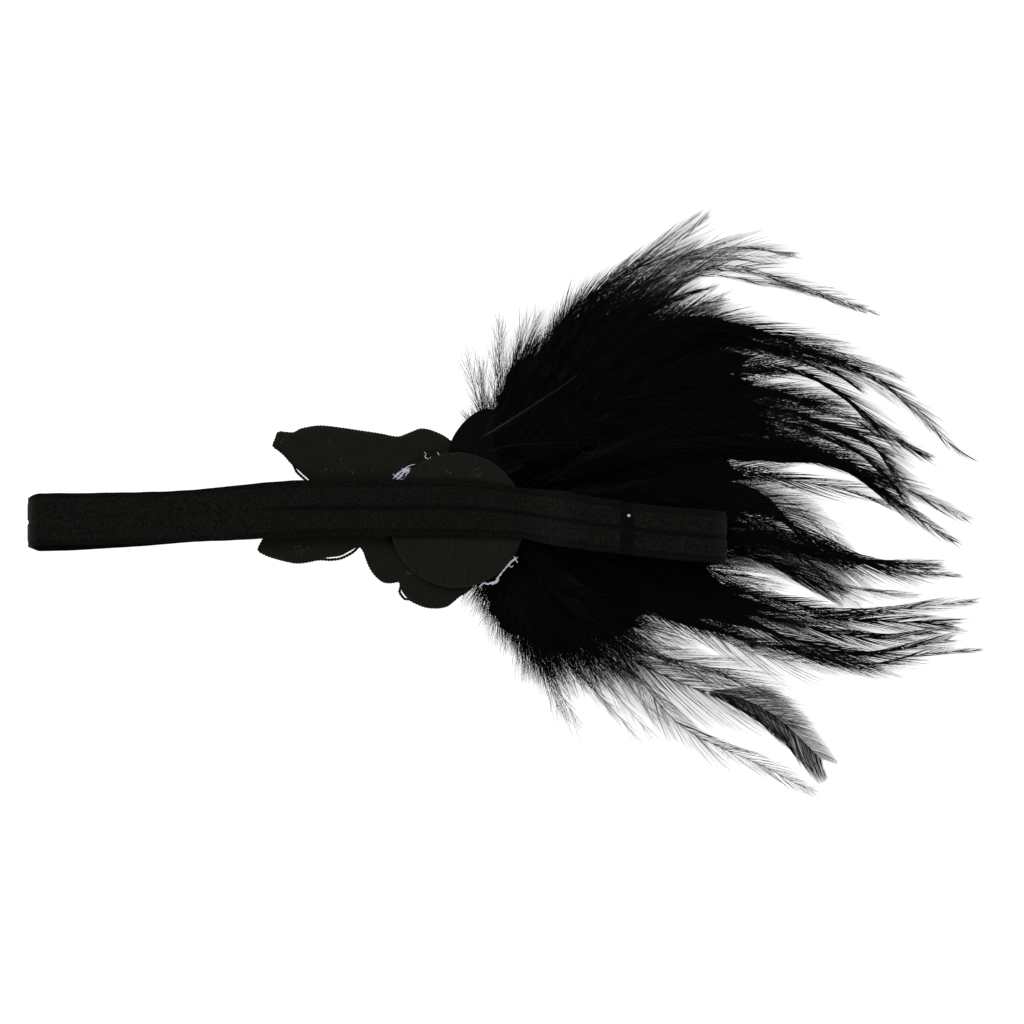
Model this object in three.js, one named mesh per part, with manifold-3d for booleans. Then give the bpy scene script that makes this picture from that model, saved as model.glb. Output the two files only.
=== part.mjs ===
// Flapper feather headband, lying face down on a surface: a loop of fold-over elastic pressed flat, a
// leaf-cluster applique with a felt disc glued over its back, and a plume of hackle feathers to one side.
// Millimetres. +X runs along the band towards the feather tips, +Y across it, +Z up from the surface.
// The origin lies on that surface, straight below the middle of the felt disc.

import * as THREE from "three";
import { LoftGeometry } from "three/addons/geometries/LoftGeometry.js";
import { mergeVertices } from "three/addons/utils/BufferGeometryUtils.js";
import Module from "manifold-3d";

// Driving dimensions

const CLEARANCE = 0.3; // air between neighbouring pieces

const BAND_WIDTH = 16;
const BAND_THICK = 1;
const BAND_LEFT = 121; // from the disc's middle to the left fold
const BAND_RIGHT = 75.6; // and to the right fold
const LOOP_GAP = 5.4; // the space that the elastic springs open to
const LOWER_PEEK = 2; // how far the lower layer shows past the upper one at the left fold
const BAND_RAMP = 14; // the length over which the lower layer climbs onto the applique
const SELVEDGE_WIDTH = 2;
const SELVEDGE_THICK = 0.75;
const GROOVE_WIDTH = 1.2; // the fold line along the middle of the elastic
const GROOVE_DEPTH = 0.35;
const LAP_PLACE = 48.8; // where the elastic's two ends are joined, from the disc's middle
const LAP_LENGTH = 4.8;
const LAP_RISE = 0.3;

const DISC_DIAMETER = 38;
const DISC_THICK = 1.2;
const DISC_SIDES = 48;

const APPLIQUE_LENGTH = 62.6;
const APPLIQUE_WIDTH = 51.3;
const BACKING_THICK = 1.2;
const FRONT_THICK = 2;
const FRONT_BEVEL = 0.4;
const CORD_DIAMETER = 1; // edging cord round the leaves
const CORD_SHOWS = 0.3; // how far the cord stands out past the backing
const CORD_SIDES = 6;

const PAD_LENGTH = 20.3; // the short round feather beside the disc
const PAD_WIDTH = 24;
const PAD_THICK = 1;
const PAD_PLACE = 10.5; // its lower end, from the disc's middle
const PAD_LEAN = 2.5; // how far its round tip leans back

const ROOT_ALONG = 5.9; // the plume's root, from the disc's middle
const ROOT_ASIDE = 4.2;
const HEAD_LENGTH = 24; // the bundle of quill ends that the feathers spring from
const HEAD_WIDTH = 40;
const HEAD_START = 9; // from the disc's middle to the bundle's left end
const ROOT_SPREAD = 10; // how far along the bundle the outermost feathers start
const PLUME_REACH = 148; // root to the furthest tip
const PLUME_RISE = 7.1; // the highest that the pile of feathers gets
const ROOT_SLOPE = 17; // the length over which the pile rises, past the disc and the round feather
const LOCK_WIDTH = 22;
const LOCK_THICK = 3;
const TIP_THICK = 0.9;

// Levels, worked out upwards from the surface

const backingUnder = FRONT_THICK + CLEARANCE;
const backingTop = backingUnder + BACKING_THICK;
const lowerOnBacking = backingTop + CLEARANCE + BAND_THICK; // the loop's inner face, lower layer
const discUnder = backingTop + Math.max(BAND_THICK, PAD_THICK) + 2 * CLEARANCE;
const upperOnDisc = discUnder + DISC_THICK + CLEARANCE; // the loop's inner face, upper layer
const upperAtLeft = BAND_THICK + LOOP_GAP;
const lowerOnPlume = PLUME_RISE + CLEARANCE + BAND_THICK;
const upperOnPlume = lowerOnPlume + LOOP_GAP;
const headTop = backingTop; // the quill ends lie beside the applique, under band and disc alike
const padUnder = headTop + CLEARANCE;

const discRadius = DISC_DIAMETER / 2;

const smooth = (x, from, to) => THREE.MathUtils.smoothstep(x, from, to);
const mix = THREE.MathUtils.lerp;

// Table lookup: a smooth curve through a table's rows, read at a place along its first column

function through(rows, column, place) {
  const last = rows.length - 1;
  const at = THREE.MathUtils.clamp(place, rows[0].at, rows[last].at);
  const i = Math.min(last - 1, rows.findLastIndex((row) => row.at <= at));
  const slope = (k) => {
    const a = rows[Math.max(k - 1, 0)];
    const b = rows[Math.min(k + 1, last)];
    return (b[column] - a[column]) / (b.at - a.at);
  };
  const span = rows[i + 1].at - rows[i].at;
  const t = (at - rows[i].at) / span;
  const start = rows[i][column];
  const end = rows[i + 1][column];
  const eased = t * t * (3 - 2 * t);
  const bend = t * (1 - t) * span * ((1 - t) * slope(i) - t * slope(i + 1));
  return mix(start, end, eased) + bend;
}

// Leaves and lobes of the applique, as seen from its back. Places are shares of the applique's length
// and width from the disc's middle, wide is a share of its width, full moves the widest place towards the
// root, and a small blunt makes the ends broad.

const LEAVES = [
  { tipX: -0.82, tipY: 0.44, rootX: -0.077, rootY: 0.165, wide: 0.418, full: 1.67, blunt: 0.34 }, // upper
  { tipX: -0.905, tipY: -0.137, rootX: -0.293, rootY: 0.027, wide: 0.319, full: 1.2, blunt: 0.35 }, // lower
  { tipX: -0.302, tipY: -0.352, rootX: -0.275, rootY: 0, wide: 0.297, full: 1, blunt: 0.5 }, // small lobe
  { tipX: -0.104, tipY: -0.484, rootX: -0.122, rootY: -0.077, wide: 0.418, full: 1, blunt: 0.5 }, // low lobe
  { tipX: -0.149, tipY: 0.5, rootX: -0.14, rootY: 0.11, wide: 0.396, full: 1, blunt: 0.5 }, // top lobe
  { tipX: 0.113, tipY: 0.027, rootX: -0.369, rootY: 0.044, wide: 0.6, full: 1, blunt: 0.5 }, // body
];
const CLUSTER_MIDDLE = { x: -0.257, y: 0.044 }; // every part of the outline is in sight from here
const LEAF_STEPS = 24;
const OUTLINE_STEPS = 100;

// The outline of one leaf, tip first, as plan points

function leafOutline(tip, root, wide, full, blunt) {
  const along = new THREE.Vector2().subVectors(root, tip);
  const across = new THREE.Vector2(-along.y, along.x).normalize();
  const side = (sign) => (t) => {
    const half = (wide / 2) * Math.sin(Math.PI * t ** full) ** blunt;
    return tip.clone().addScaledVector(along, t).addScaledVector(across, sign * half);
  };
  const turns = Array.from({ length: LEAF_STEPS - 1 }, (_, i) => (Math.PI * (i + 1)) / LEAF_STEPS);
  const steps = turns.map((turn) => (1 - Math.cos(turn)) / 2);
  return [tip, ...steps.map(side(1)), root, ...steps.reverse().map(side(-1))];
}

// How far a ray from a point gets before it last leaves a closed outline

function rayExit(from, direction, outline) {
  let exit = 0;
  outline.forEach((a, i) => {
    const b = outline[(i + 1) % outline.length];
    const edge = new THREE.Vector2().subVectors(b, a);
    const turn = direction.cross(edge);
    const to = new THREE.Vector2().subVectors(a, from);
    const distance = to.cross(edge) / turn;
    const share = to.cross(direction) / turn;
    if (turn !== 0 && share >= 0 && share <= 1) exit = Math.max(exit, distance);
  });
  return exit;
}

// The applique's outline: the furthest edge of any leaf in each direction, counterclockwise

const appliquePlace = (x, y) => new THREE.Vector2(x * APPLIQUE_LENGTH, y * APPLIQUE_WIDTH);
const clusterMiddle = appliquePlace(CLUSTER_MIDDLE.x, CLUSTER_MIDDLE.y);

function clusterOutline() {
  const leaves = LEAVES.map((leaf) =>
    leafOutline(
      appliquePlace(leaf.tipX, leaf.tipY),
      appliquePlace(leaf.rootX, leaf.rootY),
      leaf.wide * APPLIQUE_WIDTH,
      leaf.full,
      leaf.blunt,
    ),
  );
  const tips = leaves.map((outline) => outline[0].clone().sub(clusterMiddle).angle());
  const even = Array.from({ length: OUTLINE_STEPS }, (_, i) => (2 * Math.PI * i) / OUTLINE_STEPS);
  const apart = Math.PI / OUTLINE_STEPS;
  const turns = even.filter((turn) => tips.every((tip) => Math.abs(turn - tip) > apart / 2));
  return [...turns, ...tips]
    .sort((a, b) => a - b)
    .map((turn) => {
      const direction = new THREE.Vector2(Math.cos(turn), Math.sin(turn));
      const reach = Math.max(...leaves.map((outline) => rayExit(clusterMiddle, direction, outline)));
      return clusterMiddle.clone().addScaledVector(direction, reach);
    });
}

// The outline grown by a margin, or shrunk where it is negative. Each point moves along its ray from the
// middle, further where the edge runs slantwise, so the outline never crosses itself.

const SLANT_LIMIT = 0.45;

function grown(outline, margin) {
  const n = outline.length;
  return outline.map((point, i) => {
    const edge = new THREE.Vector2().subVectors(outline[(i + 1) % n], outline[(i + n - 1) % n]).normalize();
    const ray = new THREE.Vector2().subVectors(point, clusterMiddle).normalize();
    const square = Math.max(ray.cross(edge), SLANT_LIMIT);
    return point.clone().addScaledVector(ray, margin / square);
  });
}

const atHeight = (outline, z) => outline.map((point) => new THREE.Vector3(point.x, point.y, z));

const backingOutline = clusterOutline();
const cordLine = CORD_SHOWS - CORD_DIAMETER / 2; // the cord's middle, outwards from the backing's edge
const frontMargin = cordLine - CORD_DIAMETER / 2 - CLEARANCE;

// Applique, seen from its back: backing sheet, plain front, and the cord that edges the leaves

function backingGeometry() {
  const sheet = new THREE.ExtrudeGeometry(new THREE.Shape(backingOutline), {
    depth: BACKING_THICK,
    bevelEnabled: false,
  });
  return sheet.translate(0, 0, backingUnder);
}

function frontGeometry() {
  const edge = grown(backingOutline, frontMargin);
  const inner = grown(backingOutline, frontMargin - FRONT_BEVEL);
  const sections = [
    atHeight(inner, 0),
    atHeight(edge, FRONT_BEVEL),
    atHeight(edge, FRONT_THICK - FRONT_BEVEL),
    atHeight(inner, FRONT_THICK),
  ];
  return new LoftGeometry(sections, { capStart: true, capEnd: true });
}

function cordGeometry() {
  const radius = CORD_DIAMETER / 2;
  const turns = Array.from({ length: CORD_SIDES }, (_, k) => (-2 * Math.PI * k) / CORD_SIDES);
  const strands = turns.map((turn) =>
    atHeight(
      grown(backingOutline, cordLine + radius * Math.cos(turn)),
      FRONT_THICK - radius + radius * Math.sin(turn),
    ),
  );
  const sections = backingOutline.map((_, i) => strands.map((strand) => strand[i]));
  return new LoftGeometry([...sections, sections[0]]);
}

// Felt disc, glued over the lower layer of the band

function discGeometry() {
  const disc = new THREE.CylinderGeometry(discRadius, discRadius, DISC_THICK, DISC_SIDES);
  return disc.rotateX(Math.PI / 2).translate(0, 0, discUnder + DISC_THICK / 2);
}

// Elastic band: how far its middle line lies to the side, as a share of the band's width, at shares of its
// laid length from the left fold

const BAND_LINE = [
  { at: 0, aside: 0.009 },
  { at: 0.189, aside: 0.044 },
  { at: 0.304, aside: 0.132 },
  { at: 0.39, aside: 0.203 },
  { at: 0.505, aside: 0.212 },
  { at: 0.613, aside: 0.212 },
  { at: 0.706, aside: 0.123 },
  { at: 0.861, aside: -0.15 },
  { at: 1, aside: -0.317 },
];
const PEEK_ENDS = 0.333; // share of the length where the two layers lie edge to edge
const BAND_STEP = 6;
const FOLD_STEPS = 8;
const LAP_EDGE = 0.3;

const bandLaid = BAND_LEFT + BAND_RIGHT;
const appliqueEnd = Math.min(...backingOutline.map((point) => point.x));
const bandLine = (x) => BAND_WIDTH * through(BAND_LINE, "aside", (x + BAND_LEFT) / bandLaid);
const peek = (x) => LOWER_PEEK * (1 - smooth((x + BAND_LEFT) / bandLaid, 0, PEEK_ENDS));

// The round feather starts beside the band. Everything under it and the disc stays flat.

const padRoot = new THREE.Vector2(PAD_PLACE, bandLine(PAD_PLACE) + BAND_WIDTH / 2 + 2 * CLEARANCE);
const padTip = new THREE.Vector2(PAD_PLACE - PAD_LEAN, padRoot.y + PAD_LENGTH);
const plumeRoot = new THREE.Vector2(ROOT_ALONG, ROOT_ASIDE);
const rootFlat = Math.max(padTip.distanceTo(plumeRoot), discRadius + plumeRoot.length());
const rampEnd = ROOT_ALONG + rootFlat; // the band is up on the feathers from here

// Heights of the loop's inner face along the two layers

function upperInner(x) {
  const onDisc = mix(upperAtLeft, upperOnDisc, smooth(x, appliqueEnd, -discRadius));
  return mix(onDisc, upperOnPlume, smooth(x, discRadius, rampEnd));
}

function lowerInner(x) {
  const clear = appliqueEnd - CLEARANCE - BAND_THICK;
  const onBacking = mix(BAND_THICK, lowerOnBacking, smooth(x, clear - BAND_RAMP, clear));
  return mix(onBacking, lowerOnPlume, smooth(x, discRadius, rampEnd));
}

// One section of the elastic: selvedges, two plush strips and the groove between them on the outer face

function bandSection(x, inner, out, aside, extra) {
  const half = BAND_WIDTH / 2;
  const edge = half - SELVEDGE_WIDTH;
  const groove = GROOVE_WIDTH / 2;
  const bevel = BAND_THICK - SELVEDGE_THICK;
  const rows = [
    { across: half, rise: SELVEDGE_THICK },
    { across: edge, rise: SELVEDGE_THICK },
    { across: edge - bevel, rise: BAND_THICK },
    { across: groove, rise: BAND_THICK },
    { across: groove / 2, rise: BAND_THICK - GROOVE_DEPTH },
  ];
  const mirrored = rows.toReversed().map((row) => ({ across: -row.across, rise: row.rise }));
  const outer = [...rows, ...mirrored].map((row) => ({ across: row.across, rise: row.rise + extra }));
  const face = [...outer, { across: -half, rise: 0 }, { across: half, rise: 0 }];
  return face.map(
    (row) => new THREE.Vector3(x + out.x * row.rise, aside + row.across, inner + out.z * row.rise),
  );
}

function bandGeometry() {
  const foldRadius = LOOP_GAP / 2;
  const left = -BAND_LEFT + foldRadius + BAND_THICK;
  const right = BAND_RIGHT - foldRadius - BAND_THICK;
  const count = Math.ceil((right - left) / BAND_STEP);
  const even = Array.from({ length: count + 1 }, (_, i) => mix(left, right, i / count));
  const lapHalf = LAP_LENGTH / 2;
  const lapEdges = [-lapHalf, -lapHalf + LAP_EDGE, lapHalf - LAP_EDGE, lapHalf].map((x) => LAP_PLACE + x);
  const offLap = even.filter((x) => Math.abs(x - LAP_PLACE) > lapHalf + LAP_EDGE);
  const upper = [...offLap, ...lapEdges]
    .sort((a, b) => a - b)
    .map((x) => {
      const extra = Math.abs(x - LAP_PLACE) < lapHalf - LAP_EDGE / 2 ? LAP_RISE : 0;
      return bandSection(x, upperInner(x), { x: 0, z: 1 }, bandLine(x), extra);
    });
  const lower = even
    .toReversed()
    .map((x) => bandSection(x, lowerInner(x), { x: 0, z: -1 }, bandLine(x) - peek(x), 0));
  const fold = (x, sign, from, to) =>
    Array.from({ length: FOLD_STEPS - 1 }, (_, i) => {
      const share = (i + 1) / FOLD_STEPS;
      const turn = Math.PI * share;
      const out = { x: sign * Math.sin(turn), z: sign * Math.cos(turn) };
      const middle = (lowerInner(x) + upperInner(x)) / 2;
      const radius = (upperInner(x) - lowerInner(x)) / 2;
      const aside = bandLine(x) - peek(x) * mix(from, to, share);
      return bandSection(x + out.x * radius, middle + out.z * radius, out, aside, 0);
    });
  const loop = [...upper, ...fold(right, 1, 0, 1), ...lower, ...fold(left, -1, 1, 0)];
  return new LoftGeometry([...loop, loop[0]]);
}

// Short round feather beside the disc, on top of the quill ends

const PAD_FULL = 1.3;
const PAD_BLUNT = 0.45;

function padGeometry() {
  const outline = leafOutline(padTip, padRoot, PAD_WIDTH, PAD_FULL, PAD_BLUNT);
  const pad = new THREE.ExtrudeGeometry(new THREE.Shape(outline), { depth: PAD_THICK, bevelEnabled: false });
  return pad.translate(0, 0, padUnder);
}

// Feather locks. aim is the direction from the root to the tip in degrees, reach a share of the plume's
// reach, bow how far the middle bends to the left as a share of the lock's own length, wide a share of the
// lock width, tier the layer in the pile from 0 at the bottom to 1, and heap a share of the pile's height.

const LOCKS = [
  { aim: 97, reach: 0.245, bow: 0.05, wide: 0.5, tier: 0.1, heap: 0.6 },
  { aim: 86, reach: 0.355, bow: 0.06, wide: 0.75, tier: 0.2, heap: 0.87 },
  { aim: 76, reach: 0.42, bow: 0.06, wide: 0.85, tier: 0.5, heap: 0.96 },
  { aim: 61, reach: 0.48, bow: 0.08, wide: 0.95, tier: 0.8, heap: 1 },
  { aim: 56.5, reach: 0.594, bow: 0.1, wide: 0.6, tier: 0.3, heap: 1 },
  { aim: 51.5, reach: 0.703, bow: 0.11, wide: 0.55, tier: 0.6, heap: 1 },
  { aim: 38.4, reach: 0.77, bow: 0.22, wide: 0.45, tier: 0.2, heap: 1 },
  { aim: 39.9, reach: 0.638, bow: 0.12, wide: 0.95, tier: 0.9, heap: 1 },
  { aim: 40, reach: 0.5, bow: 0.08, wide: 1.3, tier: 0.5, heap: 0.96 },
  { aim: 25.3, reach: 0.848, bow: 0.26, wide: 0.45, tier: 0.7, heap: 1 },
  { aim: 24.2, reach: 0.752, bow: 0.22, wide: 1, tier: 1, heap: 1 },
  { aim: 17, reach: 0.846, bow: 0.25, wide: 0.5, tier: 0.4, heap: 0.96 },
  { aim: 5.2, reach: 0.95, bow: 0.3, wide: 0.4, tier: 0.2, heap: 0.96 },
  { aim: 6, reach: 0.87, bow: 0.25, wide: 0.55, tier: 0.7, heap: 0.96 },
  { aim: 10.8, reach: 0.76, bow: 0.17, wide: 0.95, tier: 0.5, heap: 0.91 },
  { aim: 12, reach: 0.6, bow: 0.08, wide: 1.5, tier: 0.3, heap: 0.87 },
  { aim: 2.7, reach: 0.814, bow: 0.17, wide: 1, tier: 0.8, heap: 0.87 },
  { aim: -1.7, reach: 0.937, bow: 0.15, wide: 0.6, tier: 0.3, heap: 0.87 },
  { aim: -4.4, reach: 0.91, bow: 0.14, wide: 0.6, tier: 0.6, heap: 0.87 },
  { aim: 0.8, reach: 0.67, bow: 0.06, wide: 0.9, tier: 0.1, heap: 0.87 },
  { aim: -7.4, reach: 0.888, bow: 0.04, wide: 0.65, tier: 0.5, heap: 0.83 },
  { aim: -8.2, reach: 0.931, bow: -0.01, wide: 0.5, tier: 0.2, heap: 0.83 },
  { aim: -11.6, reach: 0.86, bow: -0.02, wide: 0.7, tier: 0.4, heap: 0.83 },
  { aim: -12, reach: 0.6, bow: 0, wide: 1.5, tier: 0.7, heap: 0.83 },
  { aim: -10.9, reach: 0.968, bow: -0.075, wide: 0.6, tier: 0.2, heap: 0.87 },
  { aim: -14.1, reach: 0.937, bow: -0.06, wide: 0.7, tier: 0.6, heap: 0.87 },
  { aim: -16.2, reach: 0.935, bow: -0.085, wide: 0.65, tier: 0.3, heap: 0.87 },
  { aim: -16, reach: 1, bow: -0.11, wide: 0.4, tier: 0.1, heap: 0.87 },
  { aim: -23.6, reach: 0.794, bow: -0.07, wide: 0.75, tier: 0.5, heap: 0.91 },
  { aim: -35, reach: 0.45, bow: -0.04, wide: 1.4, tier: 0.6, heap: 0.96 },
  { aim: -32.6, reach: 0.672, bow: -0.07, wide: 0.7, tier: 0.2, heap: 0.96 },
  { aim: -34.5, reach: 0.83, bow: -0.02, wide: 0.6, tier: 0.3, heap: 0.96 },
  { aim: -36.9, reach: 0.855, bow: -0.04, wide: 0.75, tier: 0.4, heap: 0.96 },
  { aim: -40.5, reach: 0.851, bow: -0.08, wide: 0.35, tier: 0.1, heap: 0.96 },
  { aim: -50, reach: 0.484, bow: -0.05, wide: 0.95, tier: 0.4, heap: 0.96 },
  { aim: -58.6, reach: 0.446, bow: -0.04, wide: 0.95, tier: 0.7, heap: 0.96 },
  { aim: -67.4, reach: 0.381, bow: -0.03, wide: 0.95, tier: 0.4, heap: 0.96 },
  { aim: -76.6, reach: 0.3, bow: -0.02, wide: 0.85, tier: 0.2, heap: 0.87 },
  { aim: -84, reach: 0.24, bow: -0.04, wide: 0.6, tier: 0.1, heap: 0.87 },
];

// Width and thickness of a lock along its length, as shares of its own

const LOCK_FORM = [
  { at: 0, wide: 0.4, thick: 0.6 },
  { at: 0.14, wide: 0.72, thick: 0.8 },
  { at: 0.32, wide: 1, thick: 1 },
  { at: 0.52, wide: 0.95, thick: 1 },
  { at: 0.7, wide: 0.7, thick: 0.8 },
  { at: 0.86, wide: 0.4, thick: 0.55 },
  { at: 1, wide: 0.07, thick: 0.3 },
];
const LOCK_SECTION = [
  { across: 0.5, rise: 0 },
  { across: 0.24, rise: 0.5 },
  { across: -0.24, rise: 0.5 },
  { across: -0.5, rise: 0 },
  { across: -0.24, rise: -0.5 },
  { across: 0.24, rise: -0.5 },
];
const TIP_FALL = 0.5; // share of a lock's length from where it sinks towards the surface

// The top of the pile at a distance from the root and a share of a lock's length

function pileTop(distance, share, heap) {
  const risen = mix(headTop, heap * PLUME_RISE, smooth(distance, rootFlat, rootFlat + ROOT_SLOPE));
  return mix(risen, TIP_THICK, smooth(share, TIP_FALL, 1));
}

function lockGeometry(lock) {
  const turn = THREE.MathUtils.degToRad(lock.aim);
  const length = lock.reach * PLUME_REACH;
  const direction = new THREE.Vector2(Math.cos(turn), Math.sin(turn));
  const start = new THREE.Vector2(HEAD_START + HEAD_LENGTH / 2, ROOT_ASIDE + ROOT_SPREAD * direction.y);
  const tip = plumeRoot.clone().addScaledVector(direction, length);
  const left = new THREE.Vector2(-direction.y, direction.x);
  const bend = start.clone().lerp(tip, 0.5).addScaledVector(left, 2 * lock.bow * length);
  const line = new THREE.QuadraticBezierCurve(start, bend, tip);
  const sections = LOCK_FORM.map((form) => {
    const spot = line.getPoint(form.at);
    const along = line.getTangent(form.at);
    const top = pileTop(spot.distanceTo(plumeRoot), form.at, lock.heap);
    const thick = Math.min(Math.max(form.thick * LOCK_THICK, TIP_THICK), top);
    const middle = thick / 2 + lock.tier * (top - thick);
    return LOCK_SECTION.map((row) => {
      const across = row.across * form.wide * lock.wide * LOCK_WIDTH;
      return new THREE.Vector3(
        spot.x - along.y * across,
        spot.y + along.x * across,
        middle + row.rise * thick,
      );
    });
  });
  return new LoftGeometry(sections, { capStart: true, capEnd: true });
}

function headGeometry() {
  const head = new THREE.SphereGeometry(0.5, 20, 10);
  return head
    .scale(HEAD_LENGTH, HEAD_WIDTH, headTop)
    .translate(HEAD_START + HEAD_LENGTH / 2, ROOT_ASIDE, headTop / 2);
}

// Joining: closed meshes become solids, and come back as one geometry

const wasm = await Module();
wasm.setup();

function solid(geometry) {
  const plain = new THREE.BufferGeometry();
  plain.setAttribute("position", geometry.attributes.position);
  plain.setIndex(geometry.index);
  const merged = mergeVertices(plain, 1e-3);
  return new wasm.Manifold(
    new wasm.Mesh({
      numProp: 3,
      vertProperties: merged.attributes.position.array,
      triVerts: new Uint32Array(merged.index.array),
    }),
  );
}

function geometryOf(joined) {
  const mesh = joined.getMesh();
  const geometry = new THREE.BufferGeometry();
  geometry.setAttribute("position", new THREE.BufferAttribute(mesh.vertProperties, 3));
  geometry.setIndex(new THREE.BufferAttribute(mesh.triVerts, 1));
  geometry.computeVertexNormals();
  return geometry;
}

function plumeGeometry() {
  const locks = LOCKS.map((lock) => solid(lockGeometry(lock)));
  return geometryOf(locks.reduce((plume, lock) => plume.add(lock), solid(headGeometry())));
}

// Materials: all near black, told apart by how they shine

const plush = new THREE.MeshStandardMaterial({ color: 0x161614, roughness: 0.9, metalness: 0 });
const felt = new THREE.MeshStandardMaterial({ color: 0x191916, roughness: 0.95, metalness: 0 });
const backingCloth = new THREE.MeshStandardMaterial({ color: 0x181813, roughness: 0.95, metalness: 0 });
const satin = new THREE.MeshStandardMaterial({ color: 0x141416, roughness: 0.6, metalness: 0 });
const braid = new THREE.MeshStandardMaterial({ color: 0x1a1712, roughness: 0.7, metalness: 0 });
const feather = new THREE.MeshStandardMaterial({ color: 0x0b0b0c, roughness: 0.5, metalness: 0 });

// Assembly

const headband = new THREE.Group();

function place(name, geometry, material) {
  const mesh = new THREE.Mesh(geometry, material);
  mesh.name = name;
  headband.add(mesh);
}

place("applique_front", frontGeometry(), satin);
place("edging_cord", cordGeometry(), braid);
place("applique_backing", backingGeometry(), backingCloth);
place("elastic_band", bandGeometry(), plush);
place("felt_disc", discGeometry(), felt);
place("pad_feather", padGeometry(), feather);
place("feather_plume", plumeGeometry(), feather);

export default headband;
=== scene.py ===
# %% [markdown]
# # A flapper feather headband, seen from its back
#
# The real one is a loop of fold-over elastic with a leaf-cluster applique, a felt disc glued over the
# applique's back, and a plume of dyed cock feathers to one side. It lies face down on a bright surface.
# The solids fix where everything is. This script gives each piece its real surface: nap, pile, trimmed
# edges, dried glue, and feathers that are made of separate barbs.

# %% Load the solids and note their box
import math
import bmesh
import bpy
import numpy as np
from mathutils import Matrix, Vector, noise


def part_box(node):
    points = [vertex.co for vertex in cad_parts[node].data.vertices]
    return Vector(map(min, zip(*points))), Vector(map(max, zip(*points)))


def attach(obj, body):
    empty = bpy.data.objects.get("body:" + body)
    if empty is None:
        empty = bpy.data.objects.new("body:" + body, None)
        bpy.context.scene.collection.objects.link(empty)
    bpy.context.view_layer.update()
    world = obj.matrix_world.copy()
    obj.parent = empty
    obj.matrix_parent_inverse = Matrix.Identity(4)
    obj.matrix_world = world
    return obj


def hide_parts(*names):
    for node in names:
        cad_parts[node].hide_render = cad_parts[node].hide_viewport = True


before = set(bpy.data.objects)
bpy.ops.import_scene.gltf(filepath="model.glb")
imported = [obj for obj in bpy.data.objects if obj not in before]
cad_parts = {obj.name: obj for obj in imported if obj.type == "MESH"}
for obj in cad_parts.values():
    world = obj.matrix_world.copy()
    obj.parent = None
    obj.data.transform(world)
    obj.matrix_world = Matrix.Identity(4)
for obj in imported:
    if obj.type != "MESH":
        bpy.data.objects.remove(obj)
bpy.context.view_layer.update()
print("solids:", sorted(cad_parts))

# %% [markdown]
# ## Places and sizes
#
# Everything is drawn in millimetres on a plan, with the disc's middle as the origin, and turned into metres
# as a mesh is made. Where a piece follows the photograph, its points are written as pixels, because that is
# how they were read. One pixel is 0.282 mm, which the elastic's 16 mm width gives.

# %% Units
MM = 0.001
PIXEL_MM = 0.282
DISC_PX = (457, 520)


def plan(route_px):
    """Pixels of the photograph as millimetres from the disc's middle, y up."""
    spots = np.array(route_px, float)
    return (spots - DISC_PX) * (PIXEL_MM, -PIXEL_MM)


def smooth(x, start, end):
    share = np.clip((np.asarray(x, float) - start) / (end - start), 0, 1)
    return share * share * (3 - 2 * share)


def mix(a, b, share):
    return a + (b - a) * share


print("a 57 pixel wide band is", round(57 * PIXEL_MM, 1), "mm")

# %% [markdown]
# ## Smooth lines
#
# A feather's shaft, a cord and the edge of a trimmed cloth are all smooth lines through a few points. A
# Catmull-Rom curve passes through every point it is given, so the points can be read off a picture. The
# line is then stepped evenly, because barbs and stitches are evenly spaced.

# %% Lines through points
FINE_STEPS = 16


def line_through(points, count, closed=False):
    """count points, evenly spaced along a smooth line through the given ones."""
    given = np.asarray(points, float)
    if closed:
        ends = np.vstack([given[-1:], given, given[:2]])
    else:
        ends = np.vstack([2 * given[0] - given[1], given, 2 * given[-1] - given[-2]])
    t = np.linspace(0, 1, FINE_STEPS, endpoint=False)[:, None]
    spans = []
    for a, b, c, d in zip(ends, ends[1:], ends[2:], ends[3:]):
        slope = c - a
        bend = 2 * a - 5 * b + 4 * c - d
        twist = 3 * (b - c) + d - a
        spans.append(b + 0.5 * (slope * t + bend * t**2 + twist * t**3))
    fine = np.vstack([*spans, ends[-2:-1]])
    run = np.append(0, np.cumsum(np.linalg.norm(np.diff(fine, axis=0), axis=1)))
    at = np.linspace(0, run[-1], count, endpoint=not closed)
    return np.stack([np.interp(at, run, axis) for axis in fine.T], axis=1)


def length_of(line):
    return np.linalg.norm(np.diff(line, axis=0), axis=1).sum()


def directions(line):
    """Unit directions along a line."""
    slope = np.gradient(line, axis=0)
    return slope / np.maximum(np.linalg.norm(slope, axis=1, keepdims=True), 1e-9)


print("line helper:", len(line_through([(0, 0), (1, 1), (2, 0)], 9)), "points")

# %% [markdown]
# ## Materials
#
# All of it is dyed black, so the pieces are told apart by how they catch light: plush elastic is nubby and
# dull, felt is matt with a faint nap, a feather is a little glossy and bluish. Colours are given as hex
# codes as a picture shows them, and one function turns them into the linear values that light adds up in.
# One more function adds a node with its settings and its links.

# %% Material helpers
def linear(code):
    """An sRGB hex code as linear red, green, blue and alpha."""
    shares = [int(code[i : i + 2], 16) / 255 for i in (1, 3, 5)]
    return [s / 12.92 if s <= 0.04045 else ((s + 0.055) / 1.055) ** 2.4 for s in shares] + [1]


def add_node(tree, kind, sockets=None, links=None, **settings):
    """Adds one node. sockets gives values by name or number, links gives the sockets that feed it."""
    node = tree.nodes.new(kind)
    for key, value in settings.items():
        setattr(node, key, value)
    for key, value in (sockets or {}).items():
        node.inputs[key].default_value = value
    for key, source in (links or {}).items():
        tree.links.new(source, node.inputs[key])
    return node


def start_material(name):
    material = bpy.data.materials.new(name)
    material.use_nodes = True
    material.node_tree.nodes.clear()
    return material, material.node_tree


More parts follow.
